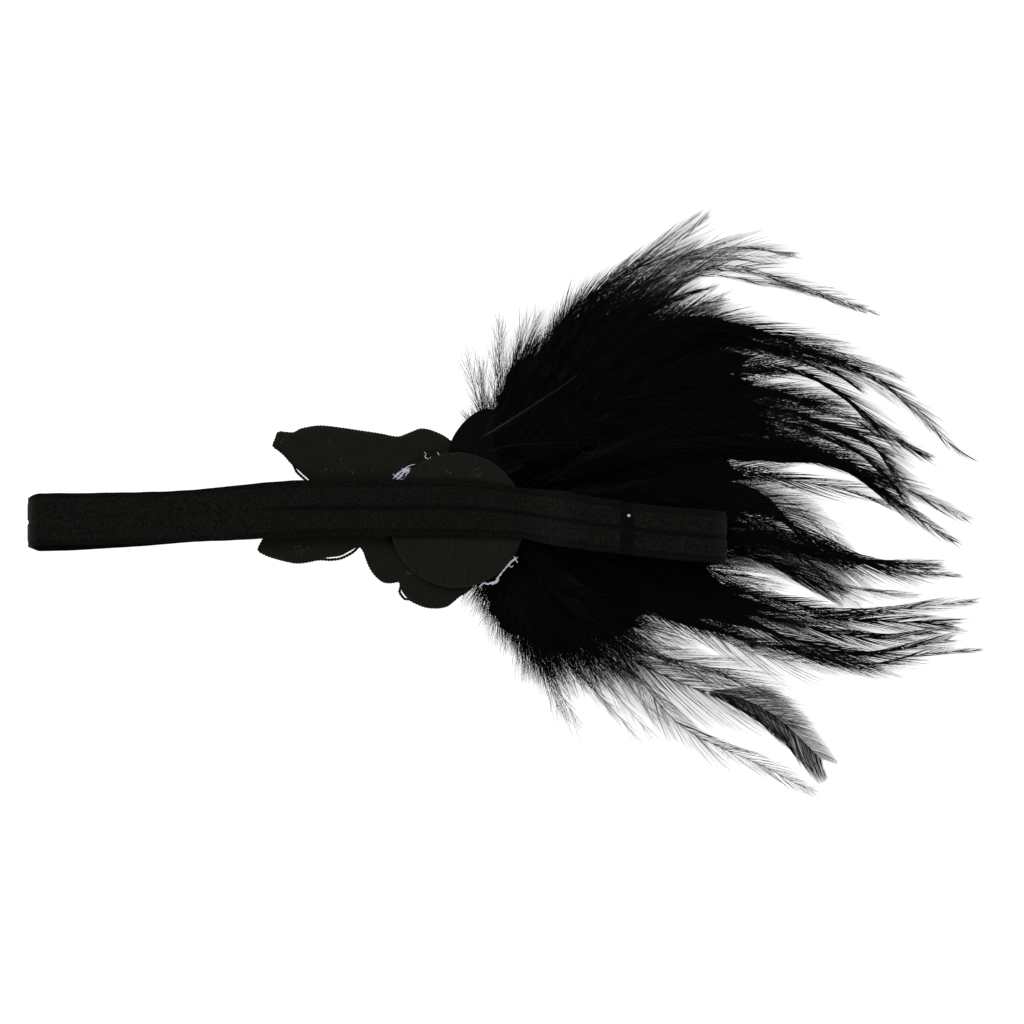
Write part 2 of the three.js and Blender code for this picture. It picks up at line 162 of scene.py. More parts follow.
MIX_SHARE, MIX_A, MIX_B, MIX_OUT = 0, 6, 7, 2  # the colour sockets of a Mix node, by number

# %% The elastic's finish
NUB = 0.7
PILE_CONTRAST = {"From Min": 0.36, "From Max": 0.68}


def plush_elastic():
    """Fold-over elastic: knitted nylon with a short looped pile. Dull, with light nubs 0.7 mm apart. The
    attribute "shade" holds painted shade in its groove, and darker selvedges, pile edges and lap."""
    material, tree = start_material("plush_elastic_knit")
    place = add_node(tree, "ShaderNodeTexCoord").outputs["Object"]
    shade = add_node(tree, "ShaderNodeAttribute", attribute_name="shade")
    nubs = add_node(tree, "ShaderNodeTexVoronoi", {"Scale": 1 / (NUB * MM)}, {"Vector": place})
    tone = add_node(
        tree,
        "ShaderNodeTexNoise",
        {"Scale": 1 / (NUB * MM), "Detail": 5.0, "Roughness": 0.8},
        {"Vector": place},
    )
    contrast = add_node(tree, "ShaderNodeMapRange", PILE_CONTRAST, {"Value": tone.outputs["Fac"]})
    pile = add_node(
        tree,
        "ShaderNodeMix",
        {MIX_A: linear("#0b0b0a"), MIX_B: linear("#3b3a36")},
        {MIX_SHARE: contrast.outputs["Result"]},
        data_type="RGBA",
    )
    # the "shade" attribute mixes the pile towards #090908: painted shade in the groove, and darker selvedges,
    # pile edges and lap
    colour = add_node(
        tree,
        "ShaderNodeMix",
        {MIX_B: linear("#090908")},
        {MIX_SHARE: shade.outputs["Fac"], MIX_A: pile.outputs[MIX_OUT]},
        data_type="RGBA",
    )
    bump = add_node(
        tree,
        "ShaderNodeBump",
        {"Strength": 0.8, "Distance": 0.3 * MM},
        {"Height": nubs.outputs["Distance"]},
    )
    shader = add_node(
        tree,
        "ShaderNodeBsdfPrincipled",
        {"Roughness": 0.95, "Specular IOR Level": 0.15, "Sheen Weight": 0.06, "Sheen Roughness": 0.6},
        {"Base Color": colour.outputs[MIX_OUT], "Normal": bump.outputs["Normal"]},
    )
    add_node(tree, "ShaderNodeOutputMaterial", links={"Surface": shader.outputs["BSDF"]})
    return material


PLUSH = plush_elastic()
print("nubs", NUB, "mm apart")

# %% [markdown]
# ### Cloths
#
# Felt, backing cloth and satin differ in how their fibres lie: brushed one way, at random, or in long
# floats. So one function makes all three from two noises, one for the two tones and one for the relief. What
# differs is how far each noise is stretched along x, y and z, in millimetres, and how the fibres shine.


# %% Cloth finishes
def cloth(name, tones, streaks, relief, gloss):
    """A cloth in two tones with a relief of fibres. streaks is the size of the tones' flecks along x, y and
    z, and their noise's detail and roughness. relief is the same, with its strength and its depth."""
    material, tree = start_material(name)
    place = add_node(tree, "ShaderNodeTexCoord").outputs["Object"]
    flecks = []
    for size, detail, roughness in (streaks, relief[:3]):
        sized = add_node(
            tree,
            "ShaderNodeMapping",
            {"Scale": [1 / (side * MM) for side in size]},
            {"Vector": place},
        )
        fleck = add_node(
            tree,
            "ShaderNodeTexNoise",
            {"Scale": 1.0, "Detail": detail, "Roughness": roughness},
            {"Vector": sized.outputs["Vector"]},
        )
        flecks.append(fleck.outputs["Fac"])
    colour = add_node(
        tree,
        "ShaderNodeMix",
        {MIX_A: linear(tones[0]), MIX_B: linear(tones[1])},
        {MIX_SHARE: flecks[0]},
        data_type="RGBA",
    )
    bump = add_node(
        tree,
        "ShaderNodeBump",
        {"Strength": relief[3], "Distance": relief[4] * MM},
        {"Height": flecks[1]},
    )
    links = {"Base Color": colour.outputs[MIX_OUT], "Normal": bump.outputs["Normal"]}
    shader = add_node(tree, "ShaderNodeBsdfPrincipled", gloss, links)
    add_node(tree, "ShaderNodeOutputMaterial", links={"Surface": shader.outputs["BSDF"]})
    return material


# Pressed wool felt, brushed one way: matt, with faint streaks 0.5 mm apart along the brushing.
FELT = cloth(
    "pressed_wool_felt",
    ("#252522", "#43423c"),
    ((0.5, 6, 0.5), 3.0, 0.6),
    ((0.35, 0.35, 0.35), 5.0, 0.8, 0.8, 0.12),
    {"Roughness": 1.0, "Specular IOR Level": 0.15, "Sheen Weight": 0.15, "Sheen Roughness": 0.5},
)
# Bonded non-woven backing: slightly olive, with a soft mottle about 2 mm across and a fibre grain.
BACKING = cloth(
    "bonded_backing_cloth",
    ("#23231d", "#424137"),
    ((2.2, 2.2, 2.2), 6.0, 0.7),
    ((0.4, 0.4, 0.4), 4.0, 0.8, 0.8, 0.15),
    {"Roughness": 0.95, "Specular IOR Level": 0.2},
)
# Polyester satin: long floats of thread, 0.3 mm wide, that shine along one way.
SATIN = cloth(
    "polyester_satin",
    ("#141416", "#2a2a2e"),
    ((3, 0.3, 3), 2.0, 0.5),
    ((3, 0.3, 3), 2.0, 0.5, 0.4, 0.05),
    {"Roughness": 0.38, "Specular IOR Level": 0.5, "Anisotropic": 0.5},
)
print("cloths:", FELT.name, BACKING.name, SATIN.name)

# %% [markdown]
# ### Cord, closed vanes, glue and lint
#
# These four have no weave to show. Each is one noise of its own size between two tones, and the eye tells
# them apart by their gloss.


# %% Flecked finishes
def flecked(name, tones, size, detail, gloss):
    """A material in two tones, with flecks of one size in millimetres."""
    material, tree = start_material(name)
    place = add_node(tree, "ShaderNodeTexCoord").outputs["Object"]
    flecks = add_node(
        tree,
        "ShaderNodeTexNoise",
        {"Scale": 1 / (size * MM), "Detail": detail},
        {"Vector": place},
    )
    colour = add_node(
        tree,
        "ShaderNodeMix",
        {MIX_A: linear(tones[0]), MIX_B: linear(tones[1])},
        {MIX_SHARE: flecks.outputs["Fac"]},
        data_type="RGBA",
    )
    shader = add_node(tree, "ShaderNodeBsdfPrincipled", gloss, {"Base Color": colour.outputs[MIX_OUT]})
    add_node(tree, "ShaderNodeOutputMaterial", links={"Surface": shader.outputs["BSDF"]})
    return material


# Twisted rayon cord: brown-black, a little shiny, each ply of filaments drawn 0.5 mm apart, so they show.
CORD_GLOSS = {"Roughness": 0.6, "Specular IOR Level": 0.4}
CORD = flecked("twisted_rayon_cord", ("#1a1610", "#3a2f20"), 0.5, 3.0, CORD_GLOSS)
# The hooked, closed part of a vane: dull black keratin, with faint ridges 0.6 mm apart.
VANE_GLOSS = {"Roughness": 0.7, "Specular IOR Level": 0.08}
VANE = flecked("closed_feather_vane", ("#121211", "#201f1f"), 0.6, 3.0, VANE_GLOSS)
# Cotton lint: pale grey fibres and dust, 1.5 mm apart in tone.
LINT_GLOSS = {"Roughness": 0.9, "Specular IOR Level": 0.2}
LINT = flecked("cotton_lint", ("#4a4a48", "#b0b0ac"), 1.5, 2.0, LINT_GLOSS)
# Hot-melt glue, squeezed out and set: milky, lavender-grey, shiny, cloudy every 0.8 mm. The little that it
# glows stands for the light of the surface that it passes on.
GLUE_GLOSS = {
    "Roughness": 0.25,
    "IOR": 1.5,
    "Subsurface Weight": 0.2,
    "Subsurface Scale": 0.5 * MM,
    "Emission Color": linear("#c9c8da"),
    "Emission Strength": 0.45,
}
GLUE = flecked("hot_melt_glue", ("#a9a6b8", "#f0eff8"), 0.8, 3.0, GLUE_GLOSS)
print("flecked:", CORD.name, VANE.name, LINT.name, GLUE.name)

# %% [markdown]
# ### Barbs, thin vanes and bare quills
#
# A dyed feather is blue-black where the dye is deep and browner where it is thin, so its colour follows how
# far along a barb a place is. Where barbs are too fine to model one by one, a thin sheet stands for them and
# lets light through in streaks. A bare quill is solid and smooth, so it shows lighter than the barbs.


# %% Feather finishes
def dyed_barbs():
    """Feather keratin dyed black: blue-black, slightly glossy, browner towards each barb's tip."""
    material, tree = start_material("dyed_feather_barbs")
    along = add_node(tree, "ShaderNodeAttribute", attribute_name="along")
    place = add_node(tree, "ShaderNodeTexCoord").outputs["Object"]
    patches = add_node(tree, "ShaderNodeTexNoise", {"Scale": 1 / (9 * MM), "Detail": 3.0}, {"Vector": place})
    dye = add_node(
        tree,
        "ShaderNodeMix",
        {MIX_A: linear("#0b0b0c"), MIX_B: linear("#1b1b1f")},
        {MIX_SHARE: patches.outputs["Fac"]},
        data_type="RGBA",
    )
    colour = add_node(
        tree,
        "ShaderNodeMix",
        {MIX_B: linear("#1f1c19")},
        {MIX_SHARE: along.outputs["Fac"], MIX_A: dye.outputs[MIX_OUT]},
        data_type="RGBA",
    )
    shader = add_node(
        tree,
        "ShaderNodeBsdfPrincipled",
        {"Roughness": 0.55, "Specular IOR Level": 0.2},
        {"Base Color": colour.outputs[MIX_OUT]},
    )
    add_node(tree, "ShaderNodeOutputMaterial", links={"Surface": shader.outputs["BSDF"]})
    return material


STREAK = 0.5
STREAK_CONTRAST = {"From Min": 0.35, "From Max": 0.65, "To Min": 0.65, "To Max": 1.3}


def open_vane():
    """The thin skin of barbs too fine to model one by one, seen against the light. It covers as much as its
    attribute "closed" says, in streaks 0.5 mm apart that follow the barbs."""
    material, tree = start_material("thin_vane_against_light")
    across = add_node(tree, "ShaderNodeAttribute", attribute_name="across_barbs")
    streaks = add_node(
        tree,
        "ShaderNodeTexNoise",
        {"Scale": 1 / STREAK, "Detail": 3.0},
        {"W": across.outputs["Fac"]},
        noise_dimensions="1D",
    )
    colour = add_node(
        tree,
        "ShaderNodeMix",
        {MIX_A: linear("#0f0f0f"), MIX_B: linear("#24211d")},
        {MIX_SHARE: streaks.outputs["Fac"]},
        data_type="RGBA",
    )
    uneven = add_node(tree, "ShaderNodeMapRange", STREAK_CONTRAST, {"Value": streaks.outputs["Fac"]})
    closed = add_node(tree, "ShaderNodeAttribute", attribute_name="closed")
    cover = add_node(
        tree,
        "ShaderNodeMath",
        links={0: uneven.outputs["Result"], 1: closed.outputs["Fac"]},
        operation="MULTIPLY",
        use_clamp=True,
    )
    shader = add_node(
        tree,
        "ShaderNodeBsdfPrincipled",
        {"Roughness": 0.6, "Specular IOR Level": 0.1},
        {"Base Color": colour.outputs[MIX_OUT], "Alpha": cover.outputs["Value"]},
    )
    add_node(tree, "ShaderNodeOutputMaterial", links={"Surface": shader.outputs["BSDF"]})
    return material


def quill_keratin():
    """Bare quill: smooth keratin that takes the dye badly, so it stays grey-brown at its root and shines."""
    material, tree = start_material("quill_keratin")
    along = add_node(tree, "ShaderNodeAttribute", attribute_name="along")
    colour = add_node(
        tree,
        "ShaderNodeMix",
        {MIX_A: linear("#2c2a28"), MIX_B: linear("#0e0e0f")},
        {MIX_SHARE: along.outputs["Fac"]},
        data_type="RGBA",
    )
    shader = add_node(
        tree,
        "ShaderNodeBsdfPrincipled",
        {"Roughness": 0.55, "IOR": 1.55, "Specular IOR Level": 0.35},
        {"Base Color": colour.outputs[MIX_OUT]},
    )
    add_node(tree, "ShaderNodeOutputMaterial", links={"Surface": shader.outputs["BSDF"]})
    return material


BARBS = dyed_barbs()
SKIN = open_vane()
QUILL = quill_keratin()
print("materials:", len(bpy.data.materials))

# %% [markdown]
# ## Making meshes
#
# A piece that has one surface is shaped as a bmesh and then finished: smooth shading, its material and
# the body it rides on. Thousands of thin strands, such as barbs, are faster as one joined mesh from arrays:
# each strand is a row of rings that ends in a point.

# %% Finishing a piece
def finish(piece, material):
    piece.data.materials.append(material)
    piece.data.shade_smooth()
    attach(piece, "root")
    print(piece.name, len(piece.data.polygons), "faces")
    return piece


def from_bmesh(name, bm, material):
    """bmesh coordinates are in millimetres up to here."""
    bmesh.ops.scale(bm, vec=(MM, MM, MM), verts=bm.verts)
    bmesh.ops.recalc_face_normals(bm, faces=bm.faces)
    mesh = bpy.data.meshes.new(name)
    bm.to_mesh(mesh)
    bm.free()
    piece = bpy.data.objects.new(name, mesh)
    bpy.context.scene.collection.objects.link(piece)
    return finish(piece, material)


def strands(name, paths, radii, material, sides=3, flat=1.0):
    """One mesh of many strands. paths is (strands, rings, 3) in millimetres, and each strand's last ring is
    its tip. radii is (strands, rings). flat is the height of a section as a share of its width."""
    count, rings, _ = paths.shape
    along = np.gradient(paths, axis=1)
    along /= np.maximum(np.linalg.norm(along, axis=2, keepdims=True), 1e-9)
    side = np.cross(along, (0, 0, 1))
    side /= np.maximum(np.linalg.norm(side, axis=2, keepdims=True), 1e-9)
    up = np.cross(side, along)
    turn = 2 * np.pi * (np.arange(sides) + 0.25) / sides
    ring = (
        side[:, :-1, None] * np.cos(turn)[:, None] + up[:, :-1, None] * np.sin(turn)[:, None] * flat
    ) * radii[:, :-1, None, None] + paths[:, :-1, None]
    tube = (rings - 1) * sides
    verts = np.concatenate([ring.reshape(count, tube, 3), paths[:, -1:]], axis=1)
    around = np.arange(sides)
    following = (around + 1) % sides
    spans = sides * np.arange(rings - 2)[:, None]
    first, second = around + spans, following + spans
    walls = [
        np.stack([first, second, second + sides], axis=-1).reshape(-1, 3),
        np.stack([first, second + sides, first + sides], axis=-1).reshape(-1, 3),
    ]
    last = tube - sides
    cone = np.stack([around + last, following + last, np.full(sides, tube)], axis=-1)
    cap = np.stack([np.zeros(sides - 2, int), around[2:], around[1:-1]], axis=-1)
    one = np.concatenate([*walls, cone, cap])
    triangles = (one[None] + (np.arange(count) * (tube + 1))[:, None, None]).reshape(-1)
    mesh = bpy.data.meshes.new(name)
    mesh.vertices.add(count * (tube + 1))
    mesh.vertices.foreach_set("co", (verts * MM).astype(np.float32).ravel())
    mesh.loops.add(len(triangles))
    mesh.loops.foreach_set("vertex_index", triangles.astype(np.int32))
    mesh.polygons.add(len(triangles) // 3)
    mesh.polygons.foreach_set("loop_start", np.arange(0, len(triangles), 3, dtype=np.int32))
    share = np.append(np.repeat(np.linspace(0, 1, rings)[:-1], sides), 1)
    attribute = mesh.attributes.new("along", "FLOAT", "POINT")
    attribute.data.foreach_set("value", np.tile(share, count).astype(np.float32))
    mesh.update(calc_edges=True)
    mesh.validate()
    piece = bpy.data.objects.new(name, mesh)
    bpy.context.scene.collection.objects.link(piece)
    return finish(piece, material)


# %% [markdown]
# ## The elastic band
#
# Fold-over elastic is knitted flat, 16 mm wide, with a groove down its middle to fold at, a short plush pile
# on both halves and a smooth selvedge along each edge. Here it is a loop that is pressed flat: the upper
# layer runs over the disc, the lower one between the disc and the applique. It could be a lofted solid, but
# cloth is made as cloth: one grid, as long as the loop and as wide as the elastic, is bent round the loop
# and given its thickness. The grid is fine enough for the pile's nubs to be real.

# %% The loop's route
BAND_WIDTH = 16
BAND_THICK = 0.85
BAND_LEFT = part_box("elastic_band")[0].x / MM
BAND_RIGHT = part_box("elastic_band")[1].x / MM
BAND_LAID = BAND_RIGHT - BAND_LEFT
LINE_AT = [0, 0.189, 0.304, 0.39, 0.505, 0.613, 0.706, 0.861, 1]
LINE_ASIDE = [0.009, 0.044, 0.132, 0.203, 0.212, 0.212, 0.123, -0.15, -0.317]
WIDE_AT = [0, 0.24, 0.28, 0.33, 0.39, 0.64, 0.706, 0.76, 0.86, 1]
WIDE_SHARE = [0.915, 0.915, 0.95, 0.985, 1, 1, 0.89, 0.97, 0.915, 0.92]
LOWER_PEEK = 1.8
PEEK_ENDS = 0.27
LOWER_RISES_FROM = -72
ROUTE_STEP = 0.5
LAYER_POINTS = 400
FOLD_POINTS = 40
DISC_RADIUS = 19
RAMP_START = 19
RAMP_END = 33.6
APPLIQUE_LEFT = -56.7
BAND_HEIGHTS = {  # heights of the elastic's middle on each stretch
    "upper left": 6.85,
    "upper on disc": 7.1,
    "upper on plume": 14.25,
    "lower left": 0.8,
    "lower on backing": 4.3,
    "lower on plume": 7.95,
}

line_fine = line_through(np.stack([LINE_AT, LINE_ASIDE], axis=1), LAYER_POINTS)


def band_middle(x):
    """How far the band's middle line lies to the side, in millimetres."""
    return BAND_WIDTH * np.interp((x - BAND_LEFT) / BAND_LAID, line_fine[:, 0], line_fine[:, 1])


def upper_height(x):
    on_disc = mix(
        BAND_HEIGHTS["upper left"],
        BAND_HEIGHTS["upper on disc"],
        smooth(x, APPLIQUE_LEFT, -DISC_RADIUS),
    )
    return mix(on_disc, BAND_HEIGHTS["upper on plume"], smooth(x, RAMP_START, RAMP_END))


def lower_height(x):
    on_backing = mix(
        BAND_HEIGHTS["lower left"],
        BAND_HEIGHTS["lower on backing"],
        smooth(x, LOWER_RISES_FROM, APPLIQUE_LEFT - 1),
    )
    return mix(on_backing, BAND_HEIGHTS["lower on plume"], smooth(x, RAMP_START, RAMP_END))


def loop_route(step):
    """The middle of the elastic's thickness round the loop: x, height, and how much of it is lower layer."""
    left_radius = (upper_height(BAND_LEFT) - lower_height(BAND_LEFT)) / 2
    right_radius = (upper_height(BAND_RIGHT) - lower_height(BAND_RIGHT)) / 2
    left = BAND_LEFT + left_radius + BAND_THICK / 2
    right = BAND_RIGHT - right_radius - BAND_THICK / 2
    across = np.linspace(left, right, LAYER_POINTS)
    turn = np.linspace(0, np.pi, FOLD_POINTS)[1:-1]

    def fold(x, radius, sign):
        middle = (upper_height(x) + lower_height(x)) / 2
        share = turn / np.pi
        rows = [x + sign * radius * np.sin(turn), middle + sign * radius * np.cos(turn)]
        return np.stack([*rows, share if sign > 0 else 1 - share], axis=1)

    upper = np.stack([across, upper_height(across), np.zeros(LAYER_POINTS)], axis=1)
    lower = np.stack([across, lower_height(across), np.ones(LAYER_POINTS)], axis=1)[::-1]
    loop = np.vstack([upper, fold(right, right_radius, 1), lower, fold(left, left_radius, -1)])
    closed = np.vstack([loop, loop[:1]])
    run = np.append(0, np.cumsum(np.linalg.norm(np.diff(closed[:, :2], axis=0), axis=1)))
    count = round(run[-1] / step)
    at = np.linspace(0, run[-1], count + 1)
    return np.stack([np.interp(at, run, column) for column in closed.T], axis=1), run[-1]


route, BAND_LENGTH = loop_route(ROUTE_STEP)
print("the elastic is", round(BAND_LENGTH), "mm round")

# %% Knit, pile and groove
SELVEDGE = 2.0
GROOVE = 1.2
PILE = 0.16
LAP_PLACE = 47.6
LAP_LENGTH = 4.2
LAP_RISE = 0.3
CORNER = 3.2
ACROSS_CELLS = 34
LEAST_HEIGHT = 0.04
GROOVE_DEEP = 0.3
# along x, where the groove's painted shade and the dark line at the pile's edges fade in
GROOVE_SHOWS = (-62, -40)
END_PINCH = 0.07


def on_lap(x, lower_share):
    """1 on the lap of the upper layer, 0 off it."""
    return (1 - smooth(abs(x - LAP_PLACE), LAP_LENGTH / 2 - 0.3, LAP_LENGTH / 2)) * (lower_share == 0)


def band_relief(across, along, x, lower_share):
    """How far the outer face stands out, in millimetres, at a place on the elastic."""
    inside = smooth(BAND_WIDTH / 2 - abs(across), SELVEDGE * 0.7, SELVEDGE * 1.1)
    groove = 1 - smooth(abs(across), GROOVE * 0.25, GROOVE * 0.8)
    lapped = on_lap(x, lower_share)
    nub = noise.noise(Vector((along * 1.15, across * 1.6, 3.1)))
    fibre = noise.noise(Vector((along * 2.7, across * 3.4, 9.7)))
    flattened = smooth(x - BAND_LEFT, 0.5, CORNER)  # the pile is pressed down round the left fold
    pile = PILE * (0.7 + 0.9 * nub + 0.6 * fibre) * inside * (1 - lapped) * flattened
    return 0.15 * inside + pile - GROOVE_DEEP * groove * (1 - 0.6 * lapped) + LAP_RISE * lapped


def band_shade(across, x, lower_share):
    """How much darker the knit is drawn, from 0 to 1: painted shade in the groove, darker selvedges, a dark
    line where the pile meets them, and a darker lap.
    """
    shows = smooth(x, *GROOVE_SHOWS)
    # painted shade: the fold groove is drawn darker where it shows
    groove = 0.7 * (1 - smooth(abs(across), 0.35, 0.95)) * shows
    selvedge = 0.4 * (1 - smooth(BAND_WIDTH / 2 - abs(across), SELVEDGE * 0.7, SELVEDGE))
    pile_edge_line = 0.7 * (1 - smooth(abs(abs(across) - BAND_WIDTH / 2 + SELVEDGE), 0.1, 0.3))
    return float(max(groove, selvedge, pile_edge_line * shows, 0.75 * on_lap(x, lower_share)))


def make_band():
    bm = bmesh.new()
    shade = bm.verts.layers.float.new("shade")
    steps = len(route) - 1
    bmesh.ops.create_grid(bm, x_segments=steps, y_segments=ACROSS_CELLS, size=0.5)
    slope = np.gradient(route[:, :2], axis=0)
    slope /= np.linalg.norm(slope, axis=1, keepdims=True)
    for vert in bm.verts:
        at = (vert.co.x + 0.5) * steps
        i = min(int(round(at)), steps)
        x, height, lower = route[i]
        across = vert.co.y * BAND_WIDTH
        share = (x - BAND_LEFT) / BAND_LAID
        narrow = np.interp(share, WIDE_AT, WIDE_SHARE) - END_PINCH * (1 - smooth(x - BAND_LEFT, 0, CORNER))
        ripple = 0.12 * noise.noise(Vector((i * 0.09, lower * 7, 1.3)))
        aside = band_middle(x) - LOWER_PEEK * lower * (1 - smooth(share, 0, PEEK_ENDS))
        relief = band_relief(across, i * ROUTE_STEP, x, lower) + BAND_THICK / 2
        out = (-slope[i][1], slope[i][0])
        vert.co = (x + out[0] * relief, aside + across * narrow + ripple, height + out[1] * relief)
        vert.co.z = max(vert.co.z, LEAST_HEIGHT)
        vert[shade] = band_shade(across, x, lower)
    bmesh.ops.remove_doubles(bm, verts=bm.verts, dist=0.02)
    bmesh.ops.recalc_face_normals(bm, faces=bm.faces)
    bmesh.ops.solidify(bm, geom=bm.faces[:], thickness=BAND_THICK)
    return bm


band = from_bmesh("fold_over_elastic", make_band(), PLUSH)
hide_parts("elastic_band")

# %% [markdown]
# ## The felt disc
#
# A round piece of craft felt, cut with scissors and glued over the lower layer of the elastic. A cylinder
# would do for its form, but cut felt has a soft rim and a nap, so its profile, a line from the middle over
# the rim and back, is spun round, and the nap moves each point a little.

# %% Felt disc
DISC_LOW, DISC_HIGH = (corner.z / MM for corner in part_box("felt_disc"))
RIM_ROUND = 0.35
SPIN_STEPS = 160
DISC_RINGS = 44
NAP = 0.05
RIM_WANDER = 0.006


def make_disc():
    bm = bmesh.new()
    inner = np.linspace(0.001, DISC_RADIUS - RIM_ROUND, DISC_RINGS)
    top = [(r, DISC_HIGH) for r in inner]
    edge = [
        (DISC_RADIUS - RIM_ROUND * (1 - math.sin(t)), (DISC_HIGH - RIM_ROUND * (1 - math.cos(t))))
        for t in np.linspace(0, math.pi / 2, 4)[1:]
    ]
    below = [(r, DISC_LOW + DISC_HIGH - z) for r, z in reversed(edge)]
    under = [(r, DISC_LOW) for r in inner[::-1]]
    profile = [bm.verts.new((r, 0, z)) for r, z in [*top, *edge, *below, *under]]
    edges = [bm.edges.new(pair) for pair in zip(profile, profile[1:])]
    bmesh.ops.spin(
        bm,
        geom=profile + edges,
        cent=(0, 0, 0),
        axis=(0, 0, 1),
        angle=2 * math.pi,
        steps=SPIN_STEPS,
        use_merge=True,
        use_duplicate=False,
    )
    bmesh.ops.remove_doubles(bm, verts=bm.verts, dist=0.01)
    for vert in bm.verts:
        reach = math.hypot(vert.co.x, vert.co.y)
        brushed = noise.noise(Vector((vert.co.x * 1.6, vert.co.y * 0.16, 5)))
        nap = noise.noise(vert.co * 1.3)
        wander = noise.noise(Vector((vert.co.x * 0.5, vert.co.y * 0.5, 8)))
        rim = 1 + RIM_WANDER * wander * smooth(reach, DISC_RADIUS - 2, DISC_RADIUS)
        vert.co.x *= rim
        vert.co.y *= rim
        if vert.co.z > (DISC_LOW + DISC_HIGH) / 2:
            vert.co.z += NAP * brushed + NAP * nap - 0.03
    return bm


disc = from_bmesh("felt_circle", make_disc(), FELT)
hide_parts("felt_disc")

# %% [markdown]
# ## The applique's back
#
# The backing is a non-woven cloth, trimmed by hand close to the leaves, so its edge wanders and has nicks.
# Its outline is read off the photograph. A grid is laid over it, what lies outside the outline is dropped,
# and the points at the border are moved onto it. That leaves small even faces inside, which the leaves'
# relief can push up and down, where one large face could only be flat.

# %% Outline of the backing
BACKING_EDGE_PX = [
    (262, 541), (258, 550), (268, 556), (285, 561), (298, 563), (312, 561), (325, 558), (340, 556),
    (350, 551), (361, 546), (365, 556), (371, 570), (380, 580), (388, 583), (399, 582), (401, 590),
    (407, 598), (415, 603), (425, 607), (437, 608), (447, 606), (455, 600), (462, 594), (471, 588),
    (480, 560), (483, 520), (478, 480), (466, 456), (452, 443), (445, 437), (432, 431), (421, 429),
    (412, 432), (402, 436), (395, 437), (380, 434), (360, 431), (340, 428), (320, 426), (305, 428),
    (298, 430), (292, 433), (280, 432), (276, 434), (275, 440), (273, 446), (282, 453), (290, 462),
    (300, 472), (312, 484), (316, 500), (306, 516), (286, 524), (270, 531),
]  # fmt: skip
EDGE_STEPS = 300
backing_edge = line_through(plan(BACKING_EDGE_PX), EDGE_STEPS, closed=True)
print("the backing's edge is", round(length_of(backing_edge)), "mm long")


def inside_edge(edge, x, y):
    """Whether a place lies inside a closed outline, by counting the edges to its right."""
    a, b = edge, np.roll(edge, -1, axis=0)
    crosses = (a[:, 1] > y) != (b[:, 1] > y)
    rise = np.where(b[:, 1] == a[:, 1], 1, b[:, 1] - a[:, 1])
    reach = a[:, 0] + (y - a[:, 1]) * (b[:, 0] - a[:, 0]) / rise
    return np.count_nonzero(crosses & (x < reach)) % 2 == 1


# %% Cutting a sheet to an outline
def edge_gap(vert):
    """How far a point lies from the backing's edge."""
    return float(np.linalg.norm(backing_edge - vert.co.xy, axis=1).min())


def cut_sheet(edge, cell, margin=0.0):
    """A grid cut to an outline, or to a line that lies a margin inside it, as a bmesh in millimetres."""
    low, high = edge.min(axis=0) - cell, edge.max(axis=0) + cell
    cells = np.ceil((high - low) / cell).astype(int)
    bm = bmesh.new()
    bmesh.ops.create_grid(bm, x_segments=int(cells[0]), y_segments=int(cells[1]), size=0.5)
    bmesh.ops.scale(bm, vec=(*(high - low), 1), verts=bm.verts)
    bmesh.ops.translate(bm, vec=(*((low + high) / 2), 0), verts=bm.verts)

    def kept(vert):
        gap = np.linalg.norm(edge - vert.co.xy, axis=1).min()
        return gap >= margin and inside_edge(edge, vert.co.x, vert.co.y)

    bmesh.ops.delete(bm, geom=[vert for vert in bm.verts if not kept(vert)], context="VERTS")
    bmesh.ops.delete(bm, geom=[vert for vert in bm.verts if not vert.link_faces], context="VERTS")
    for vert in bm.verts:
        if vert.is_boundary:
            gaps = np.linalg.norm(edge - vert.co.xy, axis=1)
            nearest = edge[int(gaps.argmin())]
            inward = (vert.co.xy - Vector(nearest)).normalized()
            vert.co.xy = Vector(nearest) + inward * margin
    bmesh.ops.remove_doubles(bm, verts=bm.verts, dist=0.02)
    return bm


def thicken_down(bm, thickness):
    """Turns a sheet's faces upwards and gives it a wall below them."""
    bmesh.ops.recalc_face_normals(bm, faces=bm.faces)
    if sum(face.normal.z for face in bm.faces) < 0:
        bmesh.ops.reverse_faces(bm, faces=bm.faces)
    bmesh.ops.solidify(bm, geom=bm.faces[:], thickness=thickness)


# %% Backing
BACKING_LOW, BACKING_HIGH = (corner.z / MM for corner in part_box("applique_backing"))
BACKING_CELL = 0.6
CREASE = 0.12
EDGE_DROOP = 0.25


def make_backing():
    bm = cut_sheet(backing_edge, BACKING_CELL)
    for vert in bm.verts:
        crease = noise.noise(Vector((vert.co.x * 0.18, vert.co.y * 0.3, 2)))
        grain = noise.noise(Vector((vert.co.x * 1.1, vert.co.y * 1.1, 4)))
        droop = EDGE_DROOP * (1 - float(smooth(edge_gap(vert), 0, 1.2)))
        vert.co.z = BACKING_HIGH - CREASE + CREASE * crease + 0.05 * grain - droop
    thicken_down(bm, BACKING_HIGH - BACKING_LOW - EDGE_DROOP)
    return bm


backing = from_bmesh("trimmed_backing", make_backing(), BACKING)
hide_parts("applique_backing")
rolled = np.roll(backing_edge, -1, axis=0)

# %% [markdown]
# ## The applique's face and its edging
#
# The face lies down on the surface and is hidden, so it is finished plainly: one padded satin cluster whose
# leaves are parted by stitched veins. It is cut from the same outline, a margin further in, and its
# underside is pressed up along the veins and round at its rim. A two-ply cord is couched round the leaves.
# It could be a tube with a twisted bump, but a real pair of helices catches the light as the twist does. In
# three places the cord has come away from the backing, and light shows through the slit.

